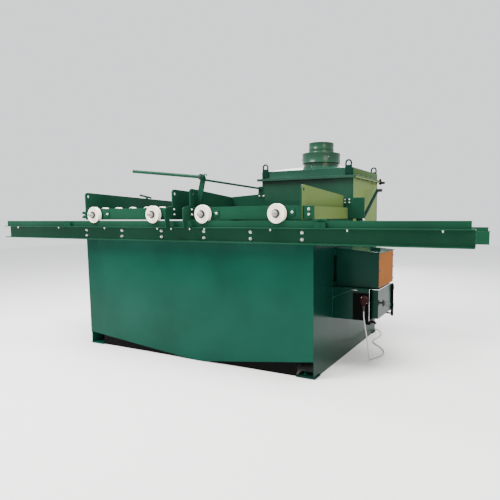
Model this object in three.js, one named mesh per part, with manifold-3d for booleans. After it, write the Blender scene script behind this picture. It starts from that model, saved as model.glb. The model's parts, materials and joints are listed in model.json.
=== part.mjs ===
// A stationary rail-carriage wood surfacing machine: a hopper tank on four feet, two long rails across
// its top, two plate-and-beam carriages on grooved wheels, a belt sanding unit inside, a dust hood with
// a duct, and an outlet box with a door. Millimetres, +X along the rails, +Y to the back, +Z up.
import * as THREE from "three";
import { ConvexGeometry } from "three/addons/geometries/ConvexGeometry.js";
import { mergeVertices } from "three/addons/utils/BufferGeometryUtils.js";
import Module from "manifold-3d";

// ---- driving dimensions -------------------------------------------------------------------------
const GAP = 0.3; // clearance left between neighbouring pieces
const ORIGIN = [1187.5, 747.5]; // plan centre of the machine in the layout below

const TANK = { w: 2380, d: 1605, top: 1020, sheet: 5, apex: 1300, leftLip: 121, rightLip: 141 };
const FOOT = { length: 150, width: 110, thick: 12 };
const RAIL = { top: 1190, left: -1110, right: 3485, webFace: -40, web: 7, flange: 55, deep: 120 };
const ANGLE = { left: -1102, right: 3462, y: -68, leg: 50, thick: 5 };
const REAR = { webFace: 1438, bottom: 958, barTop: 1118, barY: 1470, barRight: 3471 };
const INNER = { y: 600, top: 1118, left: 1280, right: 2480, wide: 40 };
const HOOD = { x0: 1450, x1: 2381, y0: 859, y1: 1606, lip: 39, flangeZ: 1562, flange: 23, top: 1655 };
const CROWN = { rise: 38, half: 212 }; // the cover's roof slopes up to a flat square under the duct
const DUCT = {
  x: 1915, y: 1232, collarR: 175, bandR: 191, pipeR: 125, bandZ: 1740, pipeZ: 1840, top: 1944,
};
const SIDE = { x1: 2747, y0: 430, y1: 870, bottom: 656, innerTop: 965, outerTop: 932, sheet: 4 };
const OUTLET = { x1: 2690, y0: 375, y1: 830, z0: 400, z1: 652, sheet: 4 };
const DOOR = { x0: 2693, x1: 2746, y0: 430, z0: 412, z1: 645, pinX: 2752, pinY: 846, pinR: 7 };
const WHEEL = { rim: 73, groove: 53.3, half: 18, bore: 10.5, axle: 10 };
const REAR_WHEEL = { r: 60, half: 15 };
const PLATE = { thick: 12, front: -60, top: 1450, bottom: 1200 };
const EAR = { front: -150, back: -102, bottom: 1131 }; // the hook in front of the rail
const BEAM = { face: -40, deep: 50, z0: 1200, z1: 1300, web: 6 };
const LEFT = { outer: 77, inner: 1118, back: 1400, backTop: 1394, wheels: [205, 921] };
const RIGHT = { inner: 1303, outer: 2306, innerBack: 525, outerBack: 790, wheels: [1444, 2119] };
const WALL = { y: 525.3, thick: 8 };
const ROLLER = { r: 44, half: 22, x: [225, 400, 575, 750, 925], y: 40, z: 1268 };
const LEVER = { x: 1390, z: 1543, pinR: 8, tube: 13, reach: 744, rise: 80 };
const DAMPER = { x: 2426, y: 973, z: 1187, reach: 548, tilt: 31.4 };
const DRUM = { r: 90, y0: 130, y1: 510, z: 1068, drive: 420, idle: 1010, shaft: 17.5 };
const MOTOR = { x: 420, z: 620, r: 105, y0: 230, y1: 560, shaft: 14 };
const SHEAVE = { drum: 95, motor: 60, y: 610, half: 14 };
const CABLE = { r: 5, coilX: 2150, coilY: 1780.3, coilIn: 36.7, coilOut: 77.3, coilHigh: 30.6 };
const SKIRT = { x0: 152, x1: 2228, y: 20, thick: 6, clear: 2 };

// ---- helpers ------------------------------------------------------------------------------------
const wasm = await Module();
wasm.setup();

// The solid of a closed geometry, with its faces turned outwards.
function solid(geometry) {
  const bare = geometry.clone();
  bare.deleteAttribute("normal");
  bare.deleteAttribute("uv");
  const merged = mergeVertices(bare, 1e-4);
  const triVerts = new Uint32Array(merged.index.array);
  const vertProperties = merged.attributes.position.array;
  const made = new wasm.Manifold(new wasm.Mesh({ numProp: 3, vertProperties, triVerts }));
  if (made.volume() > 0) return made;
  triVerts.reverse();
  return new wasm.Manifold(new wasm.Mesh({ numProp: 3, vertProperties, triVerts }));
}

function geometryOf(body) {
  const mesh = body.getMesh();
  const geometry = new THREE.BufferGeometry();
  geometry.setAttribute("position", new THREE.BufferAttribute(mesh.vertProperties, 3));
  geometry.setIndex(new THREE.BufferAttribute(mesh.triVerts, 1));
  return geometry;
}

const join = (...shapes) => geometryOf(shapes.map(solid).reduce((a, b) => a.add(b)));
const cut = (shape, ...tools) => (
  geometryOf(tools.map(solid).reduce((a, b) => a.subtract(b), solid(shape)))
);

function box(x0, x1, y0, y1, z0, z1) {
  const block = new THREE.BoxGeometry(x1 - x0, y1 - y0, z1 - z0);
  return block.translate((x0 + x1) / 2, (y0 + y1) / 2, (z0 + z1) / 2);
}

function outline(points) {
  return new THREE.Shape(points.map(([u, v]) => new THREE.Vector2(u, v)));
}

const extrude = (shape, depth, curveSegments = 8) => (
  new THREE.ExtrudeGeometry(shape, { depth, bevelEnabled: false, curveSegments })
);

// A sheet outlined in Y and Z, between two X planes.
function plateYZ(shape, x0, x1) {
  const turn = new THREE.Matrix4().set(0, 0, 1, x0, 1, 0, 0, 0, 0, 1, 0, 0, 0, 0, 0, 1);
  return extrude(shape, x1 - x0).applyMatrix4(turn);
}

// A sheet outlined in X and Z, between two Y planes.
function plateXZ(shape, y0, y1) {
  const turn = new THREE.Matrix4().set(1, 0, 0, 0, 0, 0, -1, y1, 0, 1, 0, 0, 0, 0, 0, 1);
  return extrude(shape, y1 - y0).applyMatrix4(turn);
}

const AXIS_TURN = {
  x: () => new THREE.Matrix4().makeRotationZ(-Math.PI / 2),
  y: () => new THREE.Matrix4(),
  z: () => new THREE.Matrix4().makeRotationX(Math.PI / 2),
};

// A turned piece: profile points are [radius, distance along the axis].
function turned(profile, axis, at, segments = 20) {
  const points = profile.map(([radius, along]) => new THREE.Vector2(radius, along));
  return new THREE.LatheGeometry(points, segments).applyMatrix4(AXIS_TURN[axis]()).translate(...at);
}

function rod(radius, from, to, axis, at, segments = 14) {
  return turned([[0, from], [radius, from], [radius, to], [0, to]], axis, at, segments);
}

// A straight round bar between two points.
function bar(radius, a, b, segments = 12) {
  const start = new THREE.Vector3(...a);
  const run = new THREE.Vector3(...b).sub(start);
  const up = new THREE.Vector3(0, 1, 0);
  const turn = new THREE.Quaternion().setFromUnitVectors(up, run.clone().normalize());
  const piece = new THREE.CylinderGeometry(radius, radius, run.length(), segments);
  return piece.applyQuaternion(turn).translate(...start.addScaledVector(run, 0.5));
}

// ---- materials ----------------------------------------------------------------------------------
const paint = (color, roughness, metalness) => () => (
  new THREE.MeshStandardMaterial({ color, roughness, metalness })
);
const enamel = paint(0x06402a, 0.22, 0.0);
const nylon = paint(0xf0ead8, 0.45, 0.0);
const steel = paint(0x9a9c9e, 0.35, 1.0);
const blackPaint = paint(0x0b0c0c, 0.5, 0.0);
const castIron = paint(0x4a4d50, 0.6, 0.6);
const blackPlastic = paint(0x111214, 0.5, 0.0);
const redPlastic = paint(0xb01f24, 0.4, 0.0);
const greyRubber = paint(0xb9bcbc, 0.6, 0.0);
const blackRubber = paint(0x1a1a1b, 0.8, 0.0);
const abrasive = paint(0x7a3b25, 0.95, 0.0);

const machine = new THREE.Group();
machine.position.set(-ORIGIN[0], -ORIGIN[1], 0);

function add(name, geometry, material) {
  const mesh = new THREE.Mesh(geometry, material());
  mesh.name = name;
  machine.add(mesh);
}

// ---- tank ---------------------------------------------------------------------------------------
function frontPanel() {
  const rim = RAIL.top - ANGLE.leg - 10;
  const shape = outline([
    [0, TANK.leftLip - 4], [TANK.apex - 60, 4], [TANK.apex + 60, 4], [TANK.w, TANK.rightLip - 4],
    [TANK.w, rim], [0, rim],
  ]);
  const packer = box(20, TANK.w - 20, RAIL.webFace + RAIL.web + GAP, 1, RAIL.top - 160, rim);
  add("tank_front_panel", join(plateXZ(shape, 0, TANK.sheet), packer), enamel);
}

function rearPanel() {
  const shape = outline([
    [0, TANK.leftLip - 4], [TANK.apex - 60, 4], [TANK.apex + 60, 4], [TANK.w, TANK.rightLip - 4],
    [TANK.w, TANK.top - GAP], [0, TANK.top - GAP],
  ]);
  add("tank_rear_panel", plateXZ(shape, TANK.d - TANK.sheet, TANK.d), enamel);
}

// One end of the tank: a plate down to the floor, a corner flange, two feet and the rear rail's notch.
function endPlate(name, x, inward, window) {
  const y0 = TANK.sheet + GAP;
  const y1 = TANK.d - TANK.sheet - GAP;
  const x0 = Math.min(x, x + inward * TANK.sheet);
  const plate = box(x0, x0 + TANK.sheet, y0, y1, 0, TANK.top);
  const notch = box(x0 - 1, x0 + 6, REAR.webFace - 8, REAR.webFace + 60, REAR.bottom - GAP, TANK.top + 1);
  const feet = [y0, y1 - FOOT.width].map((y) => {
    const ends = [x - inward * 10, x + inward * FOOT.length];
    return box(Math.min(...ends), Math.max(...ends), y, y + FOOT.width, 0, FOOT.thick);
  });
  const pieces = window ? [notch, window] : [notch];
  add(name, join(cut(plate, ...pieces), ...feet), enamel);
}

// The folded floor of the hopper, a shallow V with a flat at the bottom.
function hopperFloor() {
  const x0 = TANK.sheet + GAP;
  const x1 = TANK.w - x0;
  const lift = 22;
  const shape = outline([
    [x0, TANK.leftLip + lift], [TANK.apex - 60, lift], [TANK.apex + 60, lift], [x1, TANK.rightLip + lift],
    [x1, TANK.rightLip + lift + 5], [TANK.apex + 60, lift + 5], [TANK.apex - 60, lift + 5],
    [x0, TANK.leftLip + lift + 5],
  ]);
  const floor = plateXZ(shape, TANK.sheet + GAP, TANK.d - TANK.sheet - GAP);
  // A straight skirt under the floor, front and back, that closes the space below the V.
  const { clear, thick } = SKIRT;
  const into = lift + 2;
  const leftTop = into + (TANK.leftLip * (TANK.apex - 60 - SKIRT.x0)) / (TANK.apex - 60 - x0);
  const rightTop = into + (TANK.rightLip * (SKIRT.x1 - TANK.apex - 60)) / (x1 - TANK.apex - 60);
  const skirt = outline([
    [SKIRT.x0, clear], [SKIRT.x1, clear], [SKIRT.x1, rightTop],
    [TANK.apex + 60, into], [TANK.apex - 60, into],
    [SKIRT.x0, leftTop],
  ]);
  const skirts = [SKIRT.y, TANK.d - SKIRT.y - thick].map((y) => plateXZ(skirt, y, y + thick));
  add("hopper_floor", join(floor, ...skirts), blackPaint);
}

// Beams across the tank that carry the hood's front edge and the inner rail.
function innerFrame() {
  const x1 = TANK.w - TANK.sheet - GAP;
  const y0 = TANK.sheet + GAP;
  const y1 = TANK.d - TANK.sheet - GAP;
  const cross = box(1270, 1330, y0, y1, 880, 950);
  const posts = box(1290, 1330, 560, 640, 950, TANK.top);
  const sill = box(1300, x1, 850, 900, 950, TANK.top - GAP);
  const rail = box(1290, x1, INNER.y - 20, INNER.y + 20, TANK.top - 60, INNER.top);
  const tail = box(x1 - 10, INNER.right, INNER.y - 20, INNER.y + 20, TANK.top + GAP, INNER.top);
  const stub = box(1300, 1330, 850, 900, 880, 960);
  add("inner_frame", join(cross, posts, sill, rail, tail, stub), enamel);
}

// ---- rails --------------------------------------------------------------------------------------
function frontRail() {
  const z1 = RAIL.top - ANGLE.leg;
  const z0 = z1 - RAIL.deep;
  const y1 = RAIL.webFace + RAIL.web;
  const tip = RAIL.webFace - RAIL.flange;
  const channel = outline([
    [tip, z0], [y1, z0], [y1, z1], [tip, z1], [tip, z1 - 8], [RAIL.webFace, z1 - 9],
    [RAIL.webFace, z0 + 9], [tip, z0 + 8],
  ]);
  add("front_rail_channel", plateYZ(channel, RAIL.left, RAIL.right), enamel);
  const a0 = ANGLE.y - ANGLE.thick / 2;
  const a1 = a0 + ANGLE.thick;
  const zb = z1 + GAP;
  const angle = outline([
    [a0, zb], [a0 + ANGLE.leg, zb], [a0 + ANGLE.leg, zb + 5], [a1, zb + 5], [a1, RAIL.top], [a0, RAIL.top],
  ]);
  add("front_rail_angle", plateYZ(angle, ANGLE.left, ANGLE.right), enamel);
}

function rearRail() {
  const y0 = REAR.webFace;
  const z0 = REAR.bottom;
  const z1 = z0 + RAIL.deep;
  const tip = y0 + RAIL.flange;
  const channel = outline([
    [y0, z0], [tip, z0], [tip, z0 + 8], [y0 + 7, z0 + 9],
    [y0 + 7, z1 - 9], [tip, z1 - 8], [tip, z1], [y0, z1],
  ]);
  const top = box(RAIL.left, REAR.barRight, REAR.barY - 20, REAR.barY + 20, z1 - 1, REAR.barTop);
  add("rear_rail", join(plateYZ(channel, RAIL.left, RAIL.right), top), enamel);
}

// A block clamped on the front rail that the end wheels meet.
function railStop(name, x0, x1) {
  const z0 = RAIL.top - ANGLE.leg + GAP;
  const block = box(x0, x1, -96, ANGLE.y - 2.5 - GAP, z0, RAIL.top - 10);
  const bolt = rod(9, -101.5, -95, "y", [(x0 + x1) / 2, 0, z0 + 20], 6);
  add(name, join(block, bolt), enamel);
}

// ---- hood and duct ------------------------------------------------------------------------------
function hood() {
  const t = 5;
  const { x0, x1, y0, y1 } = HOOD;
  const shell = box(x0, x1, y0, y1, TANK.top + GAP, HOOD.flangeZ);
  const inside = box(x0 + t, x1 - t, y0 + t, y1 - t, TANK.top - 1, HOOD.flangeZ + 20);
  const notch = box(x0 - 1, x1 + 1, REAR.webFace - 8, REAR.webFace + 60, TANK.top - 1, REAR.barTop + 8);
  const { lip: out, flangeZ } = HOOD;
  const lip = box(x0 - out, x1 + out, y0 - out, y1 + out, flangeZ, flangeZ + 11);
  const shaftHole = rod(13, x1 - 20, x1 + 20, "x", [0, DAMPER.y, DAMPER.z]);
  const doorway = box(x0 - 1, x0 + t + 1, y0 + 60, REAR.webFace - 60, TANK.top + 60, 1380);
  add("hood_body", cut(join(shell, lip), inside, notch, shaftHole, doorway), enamel);
}

// A bent-rod lug standing against the cover's front or back face.
function liftingLug(x, y) {
  const z0 = HOOD.flangeZ + 20;
  const span = 25;
  const top = HOOD.top + 40;
  const leg = (side) => [x + side * span, y];
  const arc = Array.from({ length: 7 }, (_, i) => {
    const turn = (Math.PI * i) / 6;
    const [px, py] = leg(-Math.cos(turn));
    return new THREE.Vector3(px, py, top + span * Math.sin(turn));
  });
  const points = [new THREE.Vector3(...leg(-1), z0), ...arc, new THREE.Vector3(...leg(1), z0)];
  const section = new THREE.Shape();
  section.absarc(0, 0, 7, 0, 2 * Math.PI);
  const bend = new THREE.CatmullRomCurve3(points, false, "centripetal");
  return new THREE.ExtrudeGeometry(section, { steps: 16, extrudePath: bend, curveSegments: 3 });
}

// A box whose roof slopes up on all sides to the flat square under the duct.
function crowned(inset, z0, drop) {
  const { x0, x1, y0, y1, top } = HOOD;
  const ring = (ax, bx, ay, by, z) => [[ax, ay, z], [bx, ay, z], [bx, by, z], [ax, by, z]];
  const walls = [x0 + inset, x1 - inset, y0 + inset, y1 - inset];
  const { half, rise } = CROWN;
  const flat = [DUCT.x - half, DUCT.x + half, DUCT.y - half, DUCT.y + half];
  const rings = [ring(...walls, z0), ring(...walls, top - drop), ring(...flat, top + rise - drop)];
  return new ConvexGeometry(rings.flat().map((p) => new THREE.Vector3(...p)));
}

function hoodCover() {
  const { x0, x1, y0, y1, lip: out, flangeZ, flange, top } = HOOD;
  const z0 = flangeZ + 11 + GAP;
  const lip = box(x0 - out, x1 + out, y0 - out, y1 + out, z0, flangeZ + flange);
  const hole = rod(DUCT.pipeR, top - 20, top + CROWN.rise + 20, "z", [DUCT.x, DUCT.y, 0], 28);
  const spots = [[x0 + 40, y0 - 6], [x1 - 40, y0 - 6], [x0 + 40, y1 + 6], [x1 - 38, y1 + 6]];
  const lugs = spots.map(([x, y]) => liftingLug(x, y));
  const shell = cut(join(lip, crowned(0, z0, 0)), crowned(5, z0 - 1, 5), hole);
  add("hood_cover", join(shell, ...lugs), enamel);
}

function duct() {
  const at = [DUCT.x, DUCT.y, 0];
  const t = 4;
  const { collarR, bandR, pipeR, bandZ, pipeZ, top } = DUCT;
  const z0 = HOOD.top + CROWN.rise + GAP;
  const collar = [
    [collarR - t, z0], [collarR + 20, z0], [collarR + 20, z0 + 6], [collarR, z0 + 6],
    [collarR, bandZ - GAP], [collarR - t, bandZ - GAP], [collarR - t, z0],
  ];
  add("duct_collar", turned(collar, "z", at, 28), enamel);
  const pipe = [
    [collarR - t, bandZ], [bandR, bandZ], [bandR, pipeZ], [pipeR + 12, pipeZ], [pipeR, pipeZ + 10],
    [pipeR, top], [pipeR - t, top], [pipeR - t, pipeZ - t], [collarR + 2, pipeZ - t],
    [collarR - t, pipeZ - 12], [collarR - t, bandZ],
  ];
  add("duct_pipe", turned(pipe, "z", at, 28), enamel);
}

// The hand damper: a shaft into the hood with its blade inside and a hand lever outside.
function damper() {
  const x0 = HOOD.x1;
  const shaft = rod(12, HOOD.x0 + 40, DAMPER.x + 14, "x", [0, DAMPER.y, DAMPER.z]);
  const tilt = THREE.MathUtils.degToRad(DAMPER.tilt);
  const turn = new THREE.Matrix4().makeRotationX(tilt).setPosition(0, DAMPER.y, DAMPER.z);
  const blade = box(HOOD.x0 + 45, HOOD.x1 - 45, 0, 300, -4, 4).applyMatrix4(turn);
  const boss = rod(26, x0 + 4, DAMPER.x + 16, "x", [0, DAMPER.y, DAMPER.z]);
  const arm = box(DAMPER.x - 4, DAMPER.x + 18, 0, DAMPER.reach, -11, 11).applyMatrix4(turn);
  const lever = join(shaft, blade, boss, arm);
  add("damper_lever", lever, enamel);
  const gripEnd = DAMPER.reach + GAP;
  const grip = box(DAMPER.x - 5, DAMPER.x + 55, gripEnd, gripEnd + 26, -13, 13).applyMatrix4(turn);
  add("damper_grip", grip, blackPlastic);
}

// ---- side box, outlet and door ------------------------------------------------------------------
const sideWindow = () => box(TANK.w - 10, TANK.w + 2, SIDE.y0 + 30, SIDE.y1 - 30, SIDE.bottom + 30, 900);
const outletWindow = () => {
  const { y0, y1, z0, z1 } = OUTLET;
  return box(TANK.w - 10, TANK.w + 2, y0 + 60, y1 - 40, z0 + 30, z1 - 40);
};

function sideBox() {
  const t = SIDE.sheet;
  const x0 = TANK.w + GAP;
  const outer = outline([
    [x0, SIDE.bottom], [SIDE.x1, SIDE.bottom], [SIDE.x1, SIDE.outerTop], [x0, SIDE.innerTop],
  ]);
  const inner = outline([
    [x0 - 5, SIDE.bottom + t], [SIDE.x1 - t, SIDE.bottom + t], [SIDE.x1 - t, SIDE.outerTop - t],
    [x0 - 5, SIDE.innerTop - t],
  ]);
  const shell = cut(plateXZ(outer, SIDE.y0, SIDE.y1), plateXZ(inner, SIDE.y0 + t, SIDE.y1 - t));
  const lid = outline([
    [x0, SIDE.innerTop - 1], [SIDE.x1 + 8, SIDE.outerTop - 2], [SIDE.x1 + 8, SIDE.outerTop + 4],
    [x0, SIDE.innerTop + 5],
  ]);
  const handle = box(2640, 2720, 560, 575, SIDE.outerTop + 4, SIDE.outerTop + 38);
  add("side_box", join(shell, plateXZ(lid, SIDE.y0 - 6, SIDE.y1 + 6), handle), enamel);
}

function outletBox() {
  const t = OUTLET.sheet;
  const x0 = TANK.w + GAP;
  const shell = box(x0, OUTLET.x1, OUTLET.y0, OUTLET.y1, OUTLET.z0, OUTLET.z1);
  const inside = box(x0 - 2, OUTLET.x1 + 2, OUTLET.y0 + t, OUTLET.y1 - t, OUTLET.z0 + t, OUTLET.z1 - t);
  add("outlet_box", cut(shell, inside), enamel);
}

function door() {
  const t = 4;
  const { x0, x1, y0, z0, z1, pinX, pinY, pinR } = DOOR;
  const y1 = OUTLET.y1 - 4;
  const tray = cut(box(x0, x1, y0, y1, z0, z1), box(x0 - 1, x1 - t, y0 + t, y1 - t, z0 + t, z1 - t));
  const knuckles = [z0 + 20, z1 - 60].map((z) => {
    const bore = pinR + 0.5;
    const wall = [[bore, z], [14, z], [14, z + 40], [bore, z + 40], [bore, z]];
    const ring = turned(wall, "z", [pinX, pinY, 0]);
    const tab = box(x1 - 4, x1 + 2, y1 - 6, pinY - pinR - 3, z, z + 40);
    return join(ring, tab);
  });
  add("side_door", join(tray, ...knuckles), enamel);
  const pinAt = [pinX, pinY, 0];
  const pin = join(
    rod(pinR, 357, 632, "z", pinAt),
    rod(13, 632, 642, "z", pinAt, 6),
    rod(12, 372, 384, "z", pinAt, 6),
    box(OUTLET.x1 - 20, pinX, pinY - 6, pinY + 6, 372, 384),
    box(OUTLET.x1 - 20, OUTLET.x1 - 10, OUTLET.y1 + GAP, pinY + 6, 372, 500),
  );
  add("door_hinge_pin", pin, steel);
}

// The wing knob that clamps the door: a spindle, a three-lobed head and a pull ring.
function doorKnob() {
  const at = [0, 510, 528];
  const spindle = rod(7, DOOR.x1 + GAP, DOOR.x1 + 22, "x", at);
  const lobes = [0, 1, 2].map((i) => {
    const angle = (i * 2 * Math.PI) / 3;
    const lobeAt = [0, at[1] + 16 * Math.cos(angle), at[2] + 16 * Math.sin(angle)];
    return rod(12, DOOR.x1 + 14, DOOR.x1 + 32, "x", lobeAt, 16);
  });
  const hub = rod(17, DOOR.x1 + 14, DOOR.x1 + 34, "x", at);
  const ring = new THREE.TorusGeometry(27, 3, 6, 18).rotateY(Math.PI / 2);
  ring.translate(DOOR.x1 + 24, at[1], at[2] - 55);
  const loop = box(DOOR.x1 + 20, DOOR.x1 + 28, at[1] - 4, at[1] + 4, at[2] - 32, at[2]);
  add("door_knob", join(spindle, hub, ...lobes, loop, ring), blackPlastic);
}

// ---- power cable --------------------------------------------------------------------------------
const INLET = { x: 2655, y: 345, z: 567 };

function powerInlet() {
  const flange = rod(35, OUTLET.y0 - 22, OUTLET.y0 - GAP, "y", [INLET.x, 0, INLET.z], 20);
  const nose = rod(29, OUTLET.y0 - 52, OUTLET.y0 - 20, "y", [INLET.x, 0, INLET.z], 20);
  const neck = rod(15, INLET.z - 45, INLET.z - 10, "z", [INLET.x, INLET.y, 0], 14);
  add("power_inlet", join(flange, nose, neck), redPlastic);
  const relief = [[0, 0], [6.5, 0], [11, 32], [13, 36], [13, 40], [0, 40]];
  add("strain_relief", turned(relief, "z", [INLET.x, INLET.y, INLET.z - 45 - GAP - 40], 12), greyRubber);
}

// The route of the cable, from the strain relief down to the floor and round behind the tank.
const CABLE_ROUTE = [
  [2655, 345, 481.4], [2656, 346, 440], [2662, 362, 360], [2666, 395, 270], [2663, 440, 180],
  [2652, 495, 100], [2641, 550, 45], [2634, 606, 15], [2638, 655, 6], [2658, 712, 5.2], [2682, 790, 5.2],
  [2672, 890, 5.2], [2628, 985, 5.2], [2560, 1075, 5.2], [2500, 1150, 5.2], [2474, 1230, 5.2],
  [2482, 1315, 5.2], [2490, 1400, 5.2], [2478, 1490, 5.2], [2440, 1590, 5.2], [2380, 1665, 5.2],
  [2300, 1702, 5.2], [2235, 1708, 5.2],
  [2188.4, 1708, 5.2],
];

function cable() {
  const route = CABLE_ROUTE.map((p) => new THREE.Vector3(...p));
  const path = new THREE.CatmullRomCurve3(route, false, "centripetal");
  const section = new THREE.Shape();
  section.absarc(0, 0, CABLE.r, 0, 2 * Math.PI);
  const tube = new THREE.ExtrudeGeometry(section, { steps: 68, extrudePath: path, curveSegments: 4 });
  add("power_cable", tube, greyRubber);
  const { coilX, coilY, coilIn, coilOut, coilHigh } = CABLE;
  const ring = [
    [coilIn, 0.2], [coilOut, 0.2], [coilOut, coilHigh], [coilIn, coilHigh], [coilIn, 0.2],
  ];
  add("cable_coil", turned(ring, "z", [coilX, coilY, 0], 28), greyRubber);
  const plug = [[0, 0], [10, 0], [13, 24], [26, 40], [30, 60], [30, 118], [27, 130], [0, 130]];
  const plugAt = [coilX - 53.7, coilY - 66, 30.2];
  const body = new THREE.LatheGeometry(plug.map(([r, h]) => new THREE.Vector2(r, h)), 20);
  add("cable_plug", body.rotateZ(Math.PI / 2).translate(...plugAt), redPlastic);
}

// ---- carriages ----------------------------------------------------------------------------------
// A carriage end plate in Y and Z with a rounded, drilled top corner, and a hooked ear if asked for.
function endPlateShape(back, backTop, eared = false) {
  const { front, top, bottom } = PLATE;
  const round = 30;
  const shape = new THREE.Shape();
  shape.moveTo(eared ? EAR.back : front, bottom);
  shape.lineTo(back, bottom);
  shape.lineTo(back, backTop);
  shape.lineTo(front + round, top);
  shape.quadraticCurveTo(front, top, front, top - round);
  if (eared) {
    shape.lineTo(front, BEAM.z1 + 12);
    shape.lineTo(EAR.front + 16, BEAM.z1);
    shape.lineTo(EAR.front, BEAM.z1 - 16);
    shape.lineTo(EAR.front, EAR.bottom);
    shape.lineTo(EAR.back, EAR.bottom);
  }
  shape.closePath();
  const hole = new THREE.Path();
  hole.absarc(front + 32, top - 36, 13, 0, 2 * Math.PI, true);
  shape.holes.push(hole);
  return shape;
}

// A channel beam between two plates, with an axle and nut for each wheel.
function frontBeam(name, x0, x1, wheels) {
  const { face, deep, z0, z1, web } = BEAM;
  const section = outline([
    [face, z0], [face + deep, z0], [face + deep, z0 + web], [face + web, z0 + web], [face + web, z1 - web],
    [face + deep, z1 - web], [face + deep, z1], [face, z1],
  ]);
  const wheelZ = RAIL.top + WHEEL.groove;
  const outside = ANGLE.y - WHEEL.half;
  const axles = wheels.map((x) => {
    const at = [x, 0, wheelZ];
    const boss = rod(24, ANGLE.y + WHEEL.half + GAP, face + 1, "y", at);
    const stub = rod(WHEEL.axle, outside - 8, face + 2, "y", at);
    const washer = rod(24, outside - 4, outside - GAP, "y", at);
    const nut = rod(20, outside - 20, outside - 3, "y", at, 6);
    return join(boss, stub, washer, nut);
  });
  add(name, join(plateYZ(section, x0, x1), ...axles), enamel);
}

function groovedWheel(name, x) {
  const { rim, groove, half, bore } = WHEEL;
  const profile = [
    [bore, -half], [rim, -half], [rim, -10], [groove, -5], [groove, 5], [rim, 10], [rim, half], [bore, half],
    [bore, -half],
  ];
  add(name, turned(profile, "y", [x, ANGLE.y, RAIL.top + WHEEL.groove], 26), nylon);
}

// A plain wheel on a flat-topped rail.
function plainWheel(name, x, y, railTop) {
  const { r, half } = REAR_WHEEL;
  const profile = [[10.5, -half], [r, -half], [r, half], [10.5, half], [10.5, -half]];
  add(name, turned(profile, "y", [x, y, railTop + r + GAP], 20), nylon);
}

// A stub axle for a plain wheel, with its washer and nut, from a beam face to beyond the wheel.
function stubAxle(x, beamY, wheelY, railTop) {
  const at = [x, 0, railTop + REAR_WHEEL.r + GAP];
  const near = wheelY - REAR_WHEEL.half;
  const far = wheelY + REAR_WHEEL.half;
  return join(
    rod(20, beamY - 1, near - GAP, "y", at), rod(10, near - 2, far + 14, "y", at),
    rod(19, far + GAP, far + 12, "y", at, 6),
  );
}

function leftCarriage() {
  const { outer, inner, back, backTop, wheels } = LEFT;
  const t = PLATE.thick;
  const grabBar = outline([[614, 1446], [776, 1422], [776, 1440], [614, 1464]]);
  const grab = join(
    box(outer + 2, outer + 10, 700, 722, 1395, 1438), plateYZ(grabBar, outer + 1, outer + 11),
  );
  const outerPlate = plateYZ(endPlateShape(back, backTop), outer, outer + t);
  add("left_outer_plate", join(outerPlate, grab), enamel);
  add("left_inner_plate", plateYZ(endPlateShape(back, backTop, true), inner, inner + t), enamel);
  frontBeam("left_front_beam", outer + t + GAP, inner - GAP, wheels);
  const rearAxles = wheels.map((x) => stubAxle(x, back, REAR.barY, REAR.barTop));
  const beam = box(outer + t + GAP, inner - GAP, back - 50, back, 1166, BEAM.z1);
  add("left_rear_beam", join(beam, ...rearAxles), enamel);
  wheels.forEach((x, i) => {
    groovedWheel(`left_front_wheel_${i + 1}`, x);
    plainWheel(`left_rear_wheel_${i + 1}`, x, REAR.barY, REAR.barTop);
  });
}

// The row of short rollers behind the left carriage's front beam, on one shared bracket bar.
function rollerBed() {
  const { r, half, x, y, z } = ROLLER;
  const spread = [x[0] - 90, x[x.length - 1] + 90];
  const back = box(spread[0], spread[1], y + half + 2, y + half + 10, z - 40, z + 12);
  const pins = x.map((at) => rod(8, y - half - 1, y + half + 3, "y", [at, 0, z], 16));
  const near = BEAM.face + BEAM.deep + GAP;
  const feet = [spread[0], spread[1] - 30].map((at) => (
    box(at, at + 30, near, y + half + 4, z - 40, z - 20)
  ));
  add("roller_bracket", join(back, ...pins, ...feet), steel);
  x.forEach((at, i) => {
    const profile = [[8.5, -half], [r, -half], [r, half], [8.5, half], [8.5, -half]];
    add(`bed_roller_${i + 1}`, turned(profile, "y", [at, y, z], 20), nylon);
  });
}

function rightCarriage() {
  const { inner, outer, innerBack, outerBack, wheels } = RIGHT;
  const t = PLATE.thick;
  add("right_inner_plate", plateYZ(endPlateShape(innerBack, 1403, true), inner, inner + t), enamel);
  const crossBeam = box(outer + t - 1, outer + t + 40, 20, outerBack - 1, BEAM.z0 + 2, BEAM.z1 - 3);
  const outerPlate = plateYZ(endPlateShape(outerBack, 1405), outer, outer + t);
  add("right_outer_plate", join(outerPlate, crossBeam), enamel);
  frontBeam("right_front_beam", inner + t + GAP, outer - GAP, wheels);
  const wall = outline([
    [inner + GAP, 1205], [outer - GAP, 1205], [outer - GAP, 1352], [1665, 1366],
    [1655, 1490], [1607, 1490], [1600, 1421], [inner + GAP, 1403],
  ]);
  const beam = box(inner + GAP, outer - GAP, WALL.y + 2, WALL.y + 50, 1166, BEAM.z1 - 10);
  const axles = wheels.map((x) => stubAxle(x, WALL.y + 50, INNER.y + 12, INNER.top));
  add("right_rear_wall", join(plateXZ(wall, WALL.y, WALL.y + WALL.thick), beam, ...axles), enamel);
  wheels.forEach((x, i) => {
    groovedWheel(`right_front_wheel_${i + 1}`, x);
    plainWheel(`right_rear_wheel_${i + 1}`, x, INNER.y + 12, INNER.top);
  });
  add("end_gate", box(outer, 2510, outerBack + GAP, outerBack + 10, BEAM.z0, 1384), enamel);
}

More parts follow.
